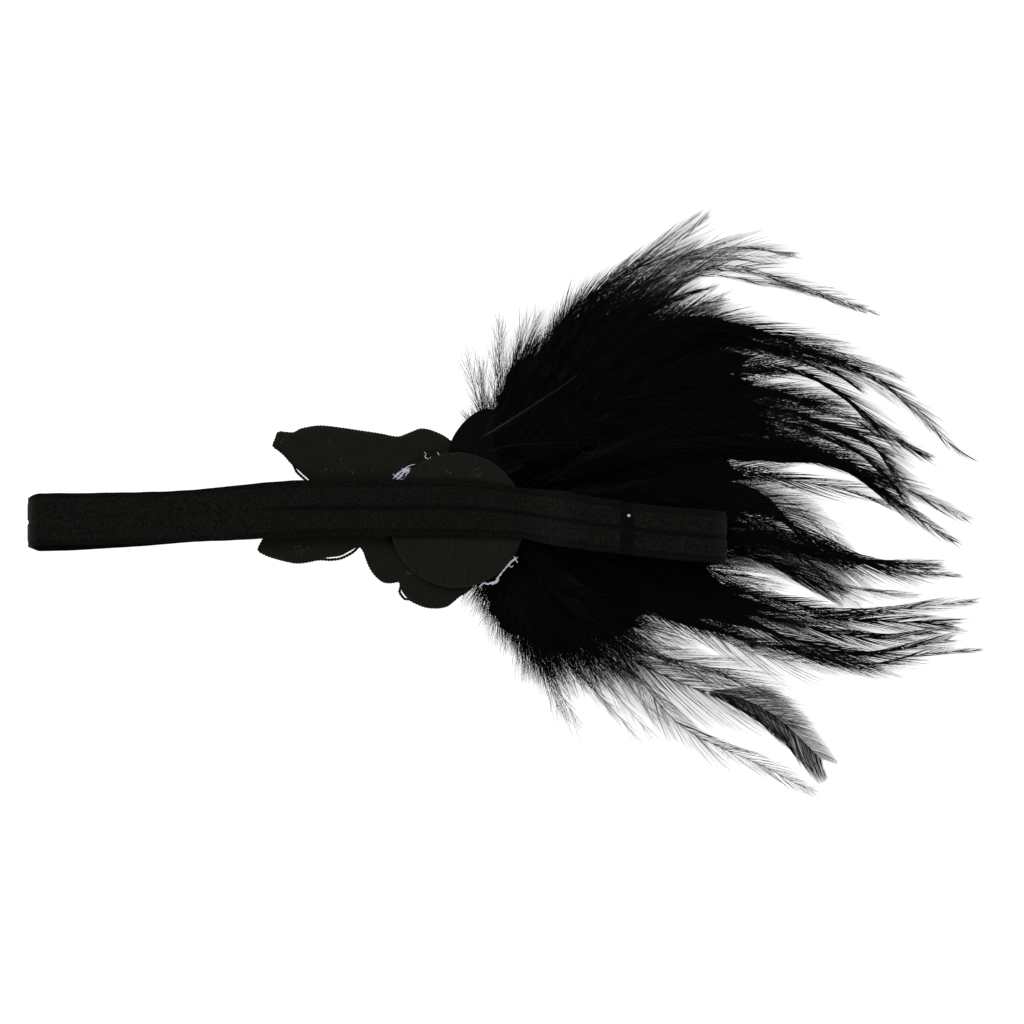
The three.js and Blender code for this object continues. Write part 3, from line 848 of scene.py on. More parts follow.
# %% Satin leaves
FRONT_MARGIN = 1.1
FRONT_CELL = 0.8
VEIN_WIDTH = 0.9
VEIN_DEPTH = 0.5
RIM_DEPTH = 0.9
RIM_WIDTH = 3
PUCKER = 0.1
FRONT_LOW, FRONT_HIGH = (corner.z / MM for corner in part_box("applique_front"))
CLUSTER_MIDDLE_PX = (400, 512)
LEAF_TIPS_PX = [(278, 440), (262, 548), (385, 580), (436, 605), (424, 430), (470, 500), (340, 432)]
cluster_middle = plan([CLUSTER_MIDDLE_PX])[0]
veins = [np.linspace(cluster_middle, tip, 40) for tip in plan(LEAF_TIPS_PX)]
vein_points = np.vstack(veins)


def make_front():
    bm = cut_sheet(backing_edge, FRONT_CELL, FRONT_MARGIN)
    for vert in bm.verts:
        vert.co.z = FRONT_HIGH
    thicken_down(bm, FRONT_HIGH - FRONT_LOW)
    for vert in bm.verts:
        if vert.co.z < FRONT_HIGH - 0.5:
            vein = np.linalg.norm(vein_points - vert.co.xy, axis=1).min()
            pucker = PUCKER * noise.noise(Vector((vert.co.x * 0.9, vert.co.y * 0.9, 6)))
            rim = RIM_DEPTH * (1 - float(smooth(edge_gap(vert) - FRONT_MARGIN, 0, RIM_WIDTH)))
            pressed = VEIN_DEPTH * math.exp(-((vein / VEIN_WIDTH) ** 2)) + rim
            vert.co.z = FRONT_LOW + 0.05 + max(0, pressed + pucker)
    return bm


front = from_bmesh("satin_leaves", make_front(), SATIN)
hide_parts("applique_front")

# %% Edging cord
PLY_RADIUS = 0.25
PLY_OFFSET = 0.22
TWIST_LENGTH = 1.8
CORD_HEIGHT = 1.5
CORD_TUCK = -0.15
CORD_STEPS = 900
LOOSE_PX = [(303, 476), (341, 556), (404, 594)]
LOOSE_GAPS = [0.7, 0.7, 0.75]
LOOSE_LENGTHS = [3.2, 5.0, 1.6]


def couched_line():
    """The cord's middle: the backing's outline, moved out where the cord has come away."""
    hidden_start = int(np.linalg.norm(backing_edge - plan([(483, 520)])[0], axis=1).argmin())
    edge = line_through(np.roll(backing_edge, -hidden_start, axis=0)[::3], CORD_STEPS, closed=True)
    way = directions(edge)
    out = np.stack([way[:, 1], -way[:, 0]], axis=1)
    off = np.full(CORD_STEPS, CORD_TUCK)
    for place, gap, reach in zip(plan(LOOSE_PX), LOOSE_GAPS, LOOSE_LENGTHS):
        away = np.linalg.norm(edge - place, axis=1)
        off += (gap - CORD_TUCK) * (1 - smooth(away, reach * 0.55, reach * 1.5))
    inward = inside_edge(backing_edge, *(edge[0] + out[0] * 0.5))
    return edge + out * off[:, None] * (-1 if inward else 1)


middle_line = couched_line()
way = directions(middle_line)
sideways = np.column_stack([way[:, 1], -way[:, 0], np.zeros(CORD_STEPS)])
run = np.append(0, np.cumsum(np.linalg.norm(np.diff(middle_line, axis=0), axis=1)))
plies = []
for half in (0, np.pi):
    turn = 2 * np.pi * run / TWIST_LENGTH + half
    middle = np.column_stack([middle_line, np.full(CORD_STEPS, CORD_HEIGHT)])
    swing = sideways * np.cos(turn)[:, None] + np.array([0, 0, 1]) * np.sin(turn)[:, None]
    plies.append(middle + PLY_OFFSET * swing)
ply_radii = np.full((2, CORD_STEPS), PLY_RADIUS)
edging = strands("couched_cord", np.stack(plies), ply_radii, CORD, sides=5)
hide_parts("edging_cord")

# %% [markdown]
# ## The round feather
#
# Beside the disc the edge of a short round body feather shows, smooth as a petal because its barbs are
# hooked together. It needs no separate barbs: a crowned leaf-shaped sheet with shallow ridges that run
# slantwise from its shaft gives the same edge and sheen.

# %% Round feather
PAD_ROOT = np.array([10.5, 11.6])
PAD_TIP = np.array([8.0, 31.4])
PAD_WIDTH = 23.6
PAD_FULL = 1.3
PAD_BLUNT = 0.45
PAD_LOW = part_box("pad_feather")[0].z / MM
RIDGE = 0.55


def make_pad():
    bm = bmesh.new()
    bmesh.ops.create_grid(bm, x_segments=90, y_segments=60, size=0.5)
    along = PAD_ROOT - PAD_TIP
    across = np.array([-along[1], along[0]]) / np.linalg.norm(along)
    for vert in bm.verts:
        share = 0.5 - 0.5 * math.cos(math.pi * (vert.co.x + 0.5) * 0.98 + 0.02)
        side = 2 * vert.co.y
        half = PAD_WIDTH / 2 * math.sin(math.pi * share**PAD_FULL) ** PAD_BLUNT if 0 < share < 1 else 0
        spot = PAD_TIP + along * share + across * side * half
        ridge = math.sin(2 * math.pi * (share * 20 + abs(side) * half * 0.8) / RIDGE / 2)
        crown = 0.2 * (1 - side**2) + 0.03 * ridge * smooth(1 - abs(side), 0, 0.1)
        vert.co = (*spot, PAD_LOW + 0.3 + crown)
    bmesh.ops.remove_doubles(bm, verts=bm.verts, dist=0.01)
    thicken_down(bm, 0.25)
    return bm


pad = from_bmesh("round_feather", make_pad(), VANE)
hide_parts("pad_feather")

# %% [markdown]
# ## The plume
#
# Cock hackles are narrow feathers: a springy shaft, stiff separate barbs towards the tip, and fluffy ones
# at its base. A few dozen are glued into a bundle. Particle hair would give the look but not a mesh that
# lasts, so each barb is a thin pointed strand of its own, and all the barbs of a group are one mesh. A barb
# leaves the shaft steeply near the base and ever more slantwise near the tip, neighbours cling together in
# small clumps, and the whole pile lies as high as the solid it stands for.
#
# Two more things close a feather against the light. Where its barbs are hooked together, near the shaft, it
# has a web: a flat strand with a ragged edge, half a millimetre under the shaft, so the barbs lie on it.
# Where the barbs are too fine to model one by one, it has a skin: a thin sheet whose ribs lie as barbs do.

# %% The pile's form
dice = np.random.default_rng(1925)
ROOT = np.array([5.9, 4.2])
HEAD_TOP = 3.5
PLUME_TOP = 7.1
ROOT_FLAT = 27.7
ROOT_SLOPE = 17
FLOOR_GAP = 0.12
TIP_HEIGHT = 0.9
UNDER_DISC = 4.9
UNDER_PAD = 3.6
PAD_COVER = ((-4, 23), (10.5, 33))  # where the round feather lies over the plume, along x and y
print("the pile is", PLUME_TOP, "mm high")


def ceiling(x, y):
    """The underside of whatever lies over the plume at a place, in millimetres."""
    top = np.full(np.shape(x), PLUME_TOP + 0.2)
    under_disc = np.hypot(x, y) < DISC_RADIUS + 1
    top = np.where(under_disc, UNDER_DISC, top)
    (left, right), (low, high) = PAD_COVER
    under_pad = (x > left) & (x < right) & (y > low) & (y < high)
    top = np.where(under_pad, UNDER_PAD, top)
    under_band = (np.abs(y - band_middle(x)) < BAND_WIDTH / 2 + 0.8) & (x < BAND_RIGHT + 1)
    band_low = lower_height(x) - BAND_THICK / 2 - 0.4
    return np.where(under_band, np.minimum(top, band_low), top)


def pile_height(x, y, share):
    """The top of the pile over a place, share of the way along a feather."""
    away = np.hypot(x - ROOT[0], y - ROOT[1])
    risen = mix(HEAD_TOP, PLUME_TOP, smooth(away, ROOT_FLAT, ROOT_FLAT + ROOT_SLOPE))
    return mix(risen, TIP_HEIGHT, smooth(share, 0.5, 1))


OVER_PAD = (4.45, 4.95)
OVER_PLUME = (PLUME_TOP - 1.6, PLUME_TOP + 1.2)


def off_disc(x, y):
    """0 beside the disc, 1 from 9 mm away on."""
    return smooth(np.hypot(x, y), DISC_RADIUS + 0.5, DISC_RADIUS + 9)


def settle(points, over=False):
    """Keeps strands above the surface and under what lies on them, or over the round feather."""
    x, y = points[..., 0], points[..., 1]
    if over:
        near = 1 - off_disc(x, y)
        low = mix(OVER_PLUME[0], OVER_PAD[0], near)
        high = mix(OVER_PLUME[1], OVER_PAD[1], near)
        points[..., 2] = np.clip(points[..., 2], low, high)
        return points
    top = ceiling(x, y)
    points[..., 2] = np.clip(points[..., 2], FLOOR_GAP, np.maximum(top, FLOOR_GAP))
    return points


# %% How barbs lie
SHAFT_RINGS = 28
BARB_RINGS = 4
LONGEST_BARB = 28
BARB_BEND = 0.3
BARB_DROOP = 0.25
DROOP_REACH = 9
SLANT_DONE = 0.8
VANE_POINT = 2.4


def drift(count, period):
    """Smooth random values from -1 to 1 that neighbours share."""
    knots = dice.uniform(-1, 1, int(count / period) + 3)
    return np.interp(np.arange(count) / period, np.arange(len(knots)), knots)


def vane_edge(at, wide, base, blunt):
    """Half the vane's width at each share of the shaft."""
    swell = smooth(at, base - 0.06 * (1 - base), base + 0.2 * (1 - base))
    return wide / 2 * swell * np.maximum(1 - at**VANE_POINT, 0) ** blunt


def sampled(line, at):
    """The points of an evenly stepped line at shares of its length."""
    share = np.linspace(0, 1, len(line))
    return np.stack([np.interp(at, share, axis) for axis in line.T], axis=1)


def slanted(way, sign, angle):
    """The headings of barbs at their angles from the shaft, on its left, or with sign -1 on its right."""
    out = sign * np.stack([-way[:, 1], way[:, 0]], axis=1)
    return way * np.cos(angle)[:, None] + out * np.sin(angle)[:, None]


print("a barb has", BARB_RINGS, "rings and is at most", LONGEST_BARB, "mm long")

# %% The skin between barbs
SKIN_RIBS = 26
SKIN_DROP = 0.12
SKIN_EDGE = 0.7


def make_skin(shaft, along, closed, ends, wide, base, steep, slant, blunt, halves, over):
    """The thin sheet between a feather's barbs: ribs laid as the barbs are, on each side that has one, with
    how closed each is and its place along the shaft."""
    at = np.linspace(base, 0.99, SKIN_RIBS)
    u = np.linspace(0, 1, BARB_RINGS)[None, :, None]
    spot, way = sampled(shaft, at), sampled(along, at)
    angle = np.radians(mix(steep, slant, smooth(at, base, SLANT_DONE)))
    length = length_of(shaft[:, :2])
    longest = np.minimum((1 - at) * length * 1.05 + 5, LONGEST_BARB)
    fade = 1 - smooth(at, *ends)[:, None]
    sheets = []
    for sign, share_closed, half in zip((-1, 1), closed, halves):
        if share_closed == 0:
            continue
        reach = np.clip(half * vane_edge(at, wide, base, blunt) / np.sin(angle), 0.3, longest)
        heading = slanted(way, sign, angle)
        step = heading[:, None] * u + (way - heading)[:, None] * BARB_BEND * u**2
        flat = spot[:, None, :2] + reach[:, None, None] * step
        droop = BARB_DROOP * u * np.minimum(reach, DROOP_REACH)[:, None, None] / DROOP_REACH
        rise = spot[:, None, 2:] - SKIN_DROP - droop
        ribs = settle(np.concatenate([flat, rise], axis=2), over)
        shade = np.broadcast_to(share_closed * fade * (1 - SKIN_EDGE * u[:, :, 0] ** 2), ribs.shape[:2])
        place = np.broadcast_to((at * length)[:, None], ribs.shape[:2])
        sheets.append((ribs, shade, place))
    return sheets


print("a skin has", SKIN_RIBS, "ribs on each side")

# %% One hackle
BARB_TAPER = (1.0, 0.8, 0.45, 0.0)
CLUMP = 5
FINE_SHARE = 0.4
FINE_THIN = 0.35
WEB_SHARE = 0.22
SHAFT_LOW = 0.5


def hackle(
    line,
    wide,
    tier,
    pitch=0.5,
    inner=0.14,
    outer=0.06,
    thin_from=0.5,
    base=0.1,
    steep=36,
    slant=12,
    blunt=0.6,
    gaps=0.08,
    cling=0.4,
    wave=0.0,
    sides=(1.0, 1.0),
    web=(0.35, 0.6),
    web_share=WEB_SHARE,
    ragged=1.0,
    taper=BARB_TAPER,
    skin=0.0,
    skin_ends=(0.5, 0.85),
    halves=(1.0, 1.0),
    over=False,
):
    """One feather along a plan line from root to tip: its shaft, web, skin and barbs, with their radii. wide
    is the vane's width and tier the feather's place in the pile, from 0 to 1. pitch is the space between
    barbs, inner and outer their radii at base and tip, which change from thin_from on, steep and slant their
    angles in degrees, taper how each thins out, gaps the share that is missing, cling how far the tips of a
    clump meet, wave how much they curl, and ragged how uneven their ends are. base is where the vane starts,
    blunt how it ends, halves and sides its share of width and of radius right and left of the shaft. web is
    the stretch over which the web runs out, and web_share its width. skin is how closed the vane is between
    the barbs, on both sides or on each, and skin_ends where that runs out. over puts the feather on top of
    the round one."""
    length = length_of(line)
    count = max(8, int(length * (1 - base) / pitch))
    along = directions(line)
    share = np.linspace(0, 1, len(line))
    top = pile_height(line[:, 0], line[:, 1], share)
    height = SHAFT_LOW + tier * np.maximum(top - 2 * SHAFT_LOW, 0)
    shaft = settle(np.column_stack([line, height]), over)
    shaft_radius = mix(0.2, 0.06, share**0.7)
    frayed = dice.uniform(0.7, 1.15, len(line))
    closed = smooth(share, base - 0.05, base + 0.12) * (1 - smooth(share, *web))
    web_radius = web_share * wide * closed * frayed
    u = np.linspace(0, 1, BARB_RINGS)[None, :, None]

    paths, radii = [], []
    for sign, side_share, half_share in zip((-1, 1), sides, halves):
        at = np.linspace(base, 0.995, count) + dice.uniform(-0.3, 0.3, count) * pitch / length
        at = at[dice.random(count) > gaps * (0.4 + at)]
        n = len(at)
        spot, way = sampled(shaft, at), sampled(along, at)
        wander = 3 * drift(n, 9) + dice.normal(0, 1.5, n)
        angle = np.radians(mix(steep, slant, smooth(at, base, SLANT_DONE)) + wander)
        half = half_share * vane_edge(at, wide, base, blunt)
        uneven = ragged * (0.2 * drift(n, 6) + dice.normal(0, 0.09, n))
        reach = half / np.sin(np.maximum(angle, 0.12)) * (1 + uneven)
        reach = np.clip(reach, 1.2, np.minimum((1 - at) * length * 1.05 + 6, LONGEST_BARB))
        heading = slanted(way, sign, angle)
        bend = dice.normal(BARB_BEND, 0.07, n)
        step = heading[:, None] * u + (way - heading)[:, None] * bend[:, None, None] * u**2
        in_clump = ((np.arange(n) + CLUMP * 0.4 * drift(n, 5)) % CLUMP / CLUMP - 0.5) * CLUMP * pitch
        pull = way * (in_clump * cling)[:, None]
        sway = dice.normal(0, 1, (n, 1, 2)) * wave * reach[:, None, None] * np.sin(2.4 * u) * u
        flat = spot[:, None, :2] + reach[:, None, None] * step - pull[:, None] * u**1.5 + sway
        lift = dice.normal(0, 0.3, n) + 0.4 * drift(n, 11)
        drooping = np.minimum(reach, DROOP_REACH)[:, None] / DROOP_REACH
        rise = spot[:, None, 2] + (lift[:, None] - BARB_DROOP) * u[:, :, 0] * drooping
        paths.append(settle(np.concatenate([flat, rise[..., None]], axis=2), over))
        thick = mix(inner, outer, smooth(at, thin_from, 0.95)) * side_share
        thick = thick * dice.uniform(0.7, 1.3, n) * np.where(dice.random(n) < FINE_SHARE, FINE_THIN, 1)
        radii.append(thick[:, None] * np.array(taper))
    vane = (wide, base, steep, slant, blunt, halves, over)
    return {
        "skin": make_skin(shaft, along, np.broadcast_to(skin, 2), skin_ends, *vane),
        "shaft": shaft,
        "shaft_radius": shaft_radius,
        "web_radius": web_radius + 0.02,
        "barbs": np.concatenate(paths),
        "barb_radius": np.concatenate(radii),
    }


# %% [markdown]
# ### The feathers that can be told apart
#
# About forty feathers can be followed in the photograph, and a few rows are a second feather close beside the
# first. Each row gives the pixels its shaft runs through, from where it comes out of the mass to its tip, and
# the form of its vane. Most have one of four forms: thin ones with sparse barbs, films that light shines
# through, dense ones with a closed vane, and fine ones with close thin barbs.

# %% Named feathers
THIN = {"inner": 0.07, "outer": 0.05, "web": (0.1, 0.2)}
FILM = {"inner": 0.08, "outer": 0.055, "web": (0.05, 0.1), "pitch": 0.7, "slant": 19, "gaps": 0.02}
DENSE = {"inner": 0.15, "outer": 0.09, "thin_from": 0.7, "web": (0.6, 0.85), "web_share": 0.26, "skin": 0.5}
FINE = {"inner": 0.12, "outer": 0.085, "thin_from": 0.75, "pitch": 0.4, "web": (0.45, 0.7), "skin": 0.4}
HACKLES = [  # the shaft's route in pixels, width in millimetres, height in the pile from 0 to 1, and form
    ([(500, 420), (515, 385), (538, 343)], 9, 0.5, DENSE),
    ([(545, 365), (580, 320), (622, 283)], 13, 0.3, DENSE),
    ([(560, 330), (600, 290), (640, 265), (675, 245), (708, 216)], 12, 0.5, {"cling": 0.85}),
    ([(560, 345), (610, 302), (655, 275), (695, 250)], 12, 0.7, {"cling": 0.85}),
    ([(570, 350), (620, 312), (670, 282), (714, 262)], 15, 0.4, {"cling": 0.85, "skin": 0.6}),
    ([(570, 365), (625, 325), (668, 300), (700, 288)], 14, 0.3, DENSE),
    ([(555, 335), (600, 288), (640, 258), (680, 228), (700, 214)], 9, 0.7, THIN),
    ([(570, 330), (600, 290), (650, 265), (690, 255), (740, 246), (795, 254)], 13, 0.4, THIN),
    ([(560, 350), (640, 290), (690, 262), (730, 255), (790, 258)], 18, 0.5, FILM),
    (
        [(560, 370), (655, 290), (700, 268), (745, 267), (800, 285), (860, 305), (880, 315)],
        13,
        0.3,
        FILM | {"sides": (0.7, 1.3), "skin": 0.25},
    ),
    ([(560, 370), (655, 300), (700, 275), (750, 280), (806, 291), (868, 313)], 5, 0.3, THIN),
    (
        [(560, 370), (655, 295), (700, 270), (745, 270), (800, 287), (860, 307), (880, 315)],
        5,
        0.4,
        {"base": 0.6},
    ),
    ([(560, 380), (600, 345), (640, 325), (722, 298)], 11, 0.8, {}),
    ([(560, 385), (640, 340), (700, 325), (780, 338), (820, 352), (858, 370)], 14, 0.9, DENSE),
    ([(560, 385), (640, 350), (700, 335), (780, 350), (830, 368), (860, 388)], 12, 0.6, DENSE),
    ([(560, 390), (640, 335), (700, 318), (780, 338), (840, 352), (903, 378)], 11, 0.8, THIN),
    ([(640, 370), (740, 345), (850, 365), (920, 410), (945, 440), (975, 460)], 9, 0.4, {}),
    ([(640, 375), (740, 348), (840, 368), (900, 400), (935, 432)], 13, 0.3, FILM | {"skin": 0.35}),
    (
        [(640, 400), (760, 365), (830, 385), (890, 435), (932, 457)],
        12,
        0.6,
        {"sides": (1.5, 0.8), "outer": 0.09},
    ),
    ([(640, 410), (750, 392), (800, 400), (850, 416), (880, 436)], 10, 0.3, DENSE),
    ([(640, 425), (750, 408), (820, 420), (868, 440), (900, 478)], 19, 0.8, FINE),
    ([(640, 430), (750, 418), (825, 433), (876, 463), (903, 495)], 16, 0.5, FINE),
    ([(640, 430), (740, 430), (810, 447), (866, 478), (910, 508)], 15, 0.7, FINE),
    ([(640, 440), (740, 445), (800, 452), (850, 470)], 15, 0.2, FILM | {"skin": 0.15}),
    ([(640, 450), (740, 440), (840, 460), (920, 495), (970, 520)], 12, 0.6, {}),
    ([(640, 460), (730, 450), (830, 460), (900, 505), (955, 542)], 12, 0.4, DENSE),
    ([(640, 470), (730, 470), (790, 480), (850, 490), (890, 505)], 12, 0.5, {}),
    ([(640, 480), (720, 484), (790, 502), (850, 548)], 18, 0.2, FILM | {"skin": (0.6, 0.35)}),
    ([(640, 490), (750, 500), (800, 530), (850, 558), (930, 570)], 16, 0.6, DENSE | {"web": (0.5, 0.7)}),
    ([(640, 500), (740, 515), (800, 540), (860, 560), (940, 565)], 13, 0.4, {}),
    ([(640, 510), (740, 525), (790, 545), (850, 565)], 15, 0.5, FINE),
    ([(660, 530), (760, 540), (850, 560), (900, 573), (962, 575)], 8, 0.3, {}),
    ([(660, 540), (780, 565), (850, 588), (920, 596)], 9, 0.2, THIN),
    (
        [(660, 530), (740, 535), (790, 550), (822, 570), (845, 594)],
        19,
        0.3,
        FINE | {"base": 0.55, "slant": 24, "skin": 0.8, "skin_ends": (0.8, 1.05)},
    ),
    (
        [(660, 540), (740, 550), (790, 570), (830, 592)],
        18,
        0.5,
        FINE | {"skin": 0.55, "skin_ends": (0.8, 1.05)},
    ),
    (
        [(660, 540), (740, 555), (800, 575), (862, 605)],
        15,
        0.1,
        FILM | {"skin": 0.45, "skin_ends": (0.8, 1.05)},
    ),
    ([(640, 570), (730, 590), (800, 605), (850, 613), (940, 605), (977, 601)], 10, 0.4, {}),
    ([(640, 580), (740, 602), (800, 615), (860, 620), (955, 625)], 14, 0.6, FINE),
    ([(640, 585), (740, 610), (800, 625), (870, 638), (940, 632)], 12, 0.5, FINE),
    ([(640, 590), (740, 620), (800, 642), (860, 655), (950, 640)], 14, 0.7, FINE),
    ([(640, 600), (740, 637), (800, 652), (870, 665), (920, 655), (983, 650)], 8, 0.3, {}),
    (
        [(620, 600), (690, 625), (760, 655), (820, 664), (880, 668)],
        17,
        0.6,
        FILM | {"pitch": 0.5, "skin": 0.2},
    ),
    ([(620, 595), (690, 620), (760, 645), (820, 655), (870, 660)], 12, 0.4, THIN),
    (
        [(560, 590), (618, 650), (690, 687), (745, 705), (800, 725)],
        28,
        0.3,
        FILM | {"pitch": 0.4, "skin": 0.2},
    ),
    (
        [(560, 590), (618, 640), (690, 665), (760, 690), (790, 705)],
        20,
        0.2,
        FILM | {"pitch": 0.5, "skin": 0.18},
    ),
    (
        [(560, 590), (618, 650), (690, 687), (740, 698), (780, 720), (824, 762)],
        17,
        0.5,
        {
            "base": 0.66,
            "pitch": 0.22,
            "inner": 0.05,
            "outer": 0.045,
            "taper": (1, 0.95, 0.85, 0),
            "steep": 38,
            "slant": 34,
            "blunt": 0.28,
            "cling": 0.05,
            "gaps": 0,
            "ragged": 0.12,
            "sides": (1.8, 0.9),
            "skin": (0.85, 0.6),
            "skin_ends": (1.5, 2),
            "halves": (1.5, 1.0),
            "web": (0.1, 0.2),
        },
    ),
    (
        [(560, 600), (620, 655), (680, 725), (760, 765), (818, 795)],
        14,
        0.2,
        FILM | {"pitch": 0.5, "skin": 0.12},
    ),
    ([(580, 600), (650, 655), (700, 665), (775, 695)], 12, 0.6, THIN),
]


def bundle_start(way):
    """Where in the bundle under the disc a feather that heads this way starts."""
    return np.array([11 + dice.uniform(0, 4), ROOT[1] + 8 * way[1]])


def from_root(plan_line):
    """Adds the hidden stretch from the bundle under the disc."""
    aim = plan_line[-1] - ROOT
    aim /= np.linalg.norm(aim)
    start = bundle_start(aim)
    return line_through(np.vstack([start, plan_line]), SHAFT_RINGS)


NAMED_BASE = 0.2
feathers = []
for route_px, wide, tier, form in HACKLES:
    feathers.append(hackle(from_root(plan(route_px)), wide, tier, **({"base": NAMED_BASE} | form)))
print(len(feathers), "named feathers,", sum(len(f["barbs"]) for f in feathers), "barbs")

# %% [markdown]
# ### The feathers in the mass
#
# The rest can't be told apart, so they fan out from the root by a rule: evenly spread directions, a reach
# and a bow that change smoothly across the fan, and a little chance from a seeded generator. Under them lies
# a second set with few barbs and wide webs, which keeps light from shining through, and a few more lie over
# the round feather.

# %% Feathers in the mass
FAN = [  # direction in degrees, reach in millimetres, bow to the left as a share of it, and width
    (100, 26, 0.03, 8),
    (86, 30, 0.03, 8),
    (78, 34, 0.02, 8),
    (74, 46, 0.03, 9),
    (70, 54, 0.04, 10),
    (64, 64, 0.03, 10),
    (59, 72, 0.04, 12),
    (53, 80, 0.05, 16),
    (44, 84, 0.08, 18),
    (35, 96, 0.13, 20),
    (24, 108, 0.13, 20),
    (16, 104, 0.12, 20),
    (11, 96, 0.1, 20),
    (5, 92, 0.08, 20),
    (0, 88, 0.05, 20),
    (-6, 94, 0.02, 20),
    (-13, 84, 0, 20),
    (-18, 94, -0.02, 20),
    (-28, 74, -0.04, 18),
    (-45, 64, -0.05, 18),
    (-55, 62, -0.05, 16),
    (-62, 55, -0.05, 14),
    (-69, 50, -0.04, 12),
    (-75, 41, -0.03, 10),
    (-80, 31, -0.02, 8),
    (-88, 25, -0.01, 8),
    (-96, 23, 0, 8),
]
FAN_TURNS, FAN_REACH, FAN_BOW, FAN_WIDE = np.array(FAN[::-1], float).T


def fan_way(turn):
    """A direction of the fan and the one to its left."""
    way = np.array([math.cos(math.radians(turn)), math.sin(math.radians(turn))])
    return way, np.array([-way[1], way[0]])


def fan_line(turn, reach_share):
    """A bowed line from the bundle in a direction."""
    way, left = fan_way(turn)
    reach = np.interp(turn, FAN_TURNS, FAN_REACH) * reach_share
    bow = np.interp(turn, FAN_TURNS, FAN_BOW) + dice.normal(0, 0.02)
    start = bundle_start(way)
    tip = ROOT + way * reach
    middle = mix(start, tip, 0.5) + left * bow * reach
    return line_through(np.vstack([start, middle, tip]), SHAFT_RINGS)


MASS = {"pitch": 0.6, "inner": 0.18, "base": 0.14, "blunt": 0.5, "web": (0.5, 0.8)}
UNDERLAY = {"pitch": 1.6, "base": 0.1, "blunt": 0.5, "web": (0.75, 0.97), "web_share": 0.42}
OVERLAY = {"tier": 1, "base": 0.12, "blunt": 0.45, "web": (0.5, 0.9), "over": True}
OVERLAY_START = np.array([11, 13.2])
OVERLAY_BOW = 0.06
OVERLAY_REACH = [(72, 34), (63, 48), (54, 60), (45, 70), (36, 74), (27, 72), (18, 66)]

for turn in np.linspace(76, -93, 60):
    line = fan_line(turn + dice.normal(0, 1), dice.uniform(0.78, 1.05))
    wide = np.interp(turn, FAN_TURNS, FAN_WIDE)
    feathers.append(hackle(line, wide, dice.uniform(0.15, 0.95), **MASS))
for turn in np.linspace(74, -92, 37):
    line = fan_line(turn, dice.uniform(0.82, 0.9))
    wide = np.interp(turn, FAN_TURNS, FAN_WIDE)
    feathers.append(hackle(line, wide, dice.uniform(0, 0.2), **UNDERLAY))
for turn, reach in OVERLAY_REACH:
    way, left = fan_way(turn)
    bend = OVERLAY_START + way * reach * 0.5 + left * reach * OVERLAY_BOW
    line = line_through(np.vstack([OVERLAY_START, bend, OVERLAY_START + way * reach]), SHAFT_RINGS)
    feathers.append(hackle(line, np.interp(turn, FAN_TURNS, FAN_WIDE), **OVERLAY))
print(len(feathers), "feathers,", sum(len(f["barbs"]) for f in feathers), "barbs")

# %% [markdown]
# ### Down at the root
#
# The base of every hackle is fluff: long limp barbs without hooks. It hides where the feathers come out
# from under the disc and stands out as a soft fringe at both ends of the fan, with longer wisps past it. The
# same function makes it, with steep, thin, wavy barbs on short shafts.

# %% Down
FLUFF = {
    "pitch": 0.38,
    "inner": 0.08,
    "outer": 0.05,
    "cling": 0.5,
    "steep": 50,
    "slant": 24,
    "web": (0.3, 0.7),
}
WISP = {
    "pitch": 0.8,
    "inner": 0.06,
    "outer": 0.04,
    "cling": 0.7,
    "steep": 32,
    "slant": 16,
    "web": (0.02, 0.05),
}
TUFTS = [  # first and last direction, how many, reach beyond the fan in millimetres, width and kind
    (-48, -89, 26, (-4, 4), (11, 17), FLUFF),
    (96, 78, 6, (-4, 2), (8, 10), FLUFF),
    (40, -40, 6, (-60, -40), (14, 20), FLUFF),
    (94, 76, 10, (4, 22), (8, 11), WISP),
    (76, 68, 4, (2, 8), (8, 10), WISP),
    (-50, -72, 9, (4, 20), (7, 12), WISP),
]
tufts = []
for first, last, count, beyond, wide, kind in TUFTS:
    for turn in np.linspace(first, last, count):
        fan_reach = np.interp(turn, FAN_TURNS, FAN_REACH)
        line = fan_line(turn + dice.normal(0, 2), 1 + dice.uniform(*beyond) / fan_reach)
        form = {"wide": dice.uniform(*wide), "tier": dice.uniform(0.05, 0.95), **kind}
        tufts.append(hackle(line, base=0.03, blunt=0.35, wave=0.12, **form))
print(len(tufts), "tufts,", sum(len(t["barbs"]) for t in tufts), "barbs")


# %% Joining the feathers
WEB_DROP = 0.55
WEB_FLAT = 0.03
BARB_FLAT = 0.5


def join(picked, part):
    return np.concatenate([feather[part] for feather in picked])


def stack(picked, part):
    return np.stack([feather[part] for feather in picked])


def aside(feather):
    """Where a feather lies across the plume."""
    return feather["shaft"][-1, 1] + 0.6 * feather["shaft"][SHAFT_RINGS // 2, 1]


def join_skins(sheets):
    """One mesh of all the thin sheets between the barbs."""
    ribs, rings = sheets[0][0].shape[:2]
    corner = (np.arange(ribs - 1)[:, None] * rings + np.arange(rings - 1)).reshape(-1, 1)
    quads = corner + np.array([0, 1, rings + 1, rings])
    faces = np.concatenate([quads + number * ribs * rings for number in range(len(sheets))])
    verts = np.concatenate([sheet[0].reshape(-1, 3) for sheet in sheets]) * MM
    mesh = bpy.data.meshes.new("vane_skins")
    mesh.from_pydata(verts.tolist(), [], faces.tolist())
    for column, name in ((1, "closed"), (2, "across_barbs")):
        values = np.concatenate([sheet[column].ravel() for sheet in sheets])
        attribute = mesh.attributes.new(name, "FLOAT", "POINT")
        attribute.data.foreach_set("value", values.astype(np.float32))
    mesh.validate()
    piece = bpy.data.objects.new("vane_skins", mesh)
    bpy.context.scene.collection.objects.link(piece)
    return finish(piece, SKIN)


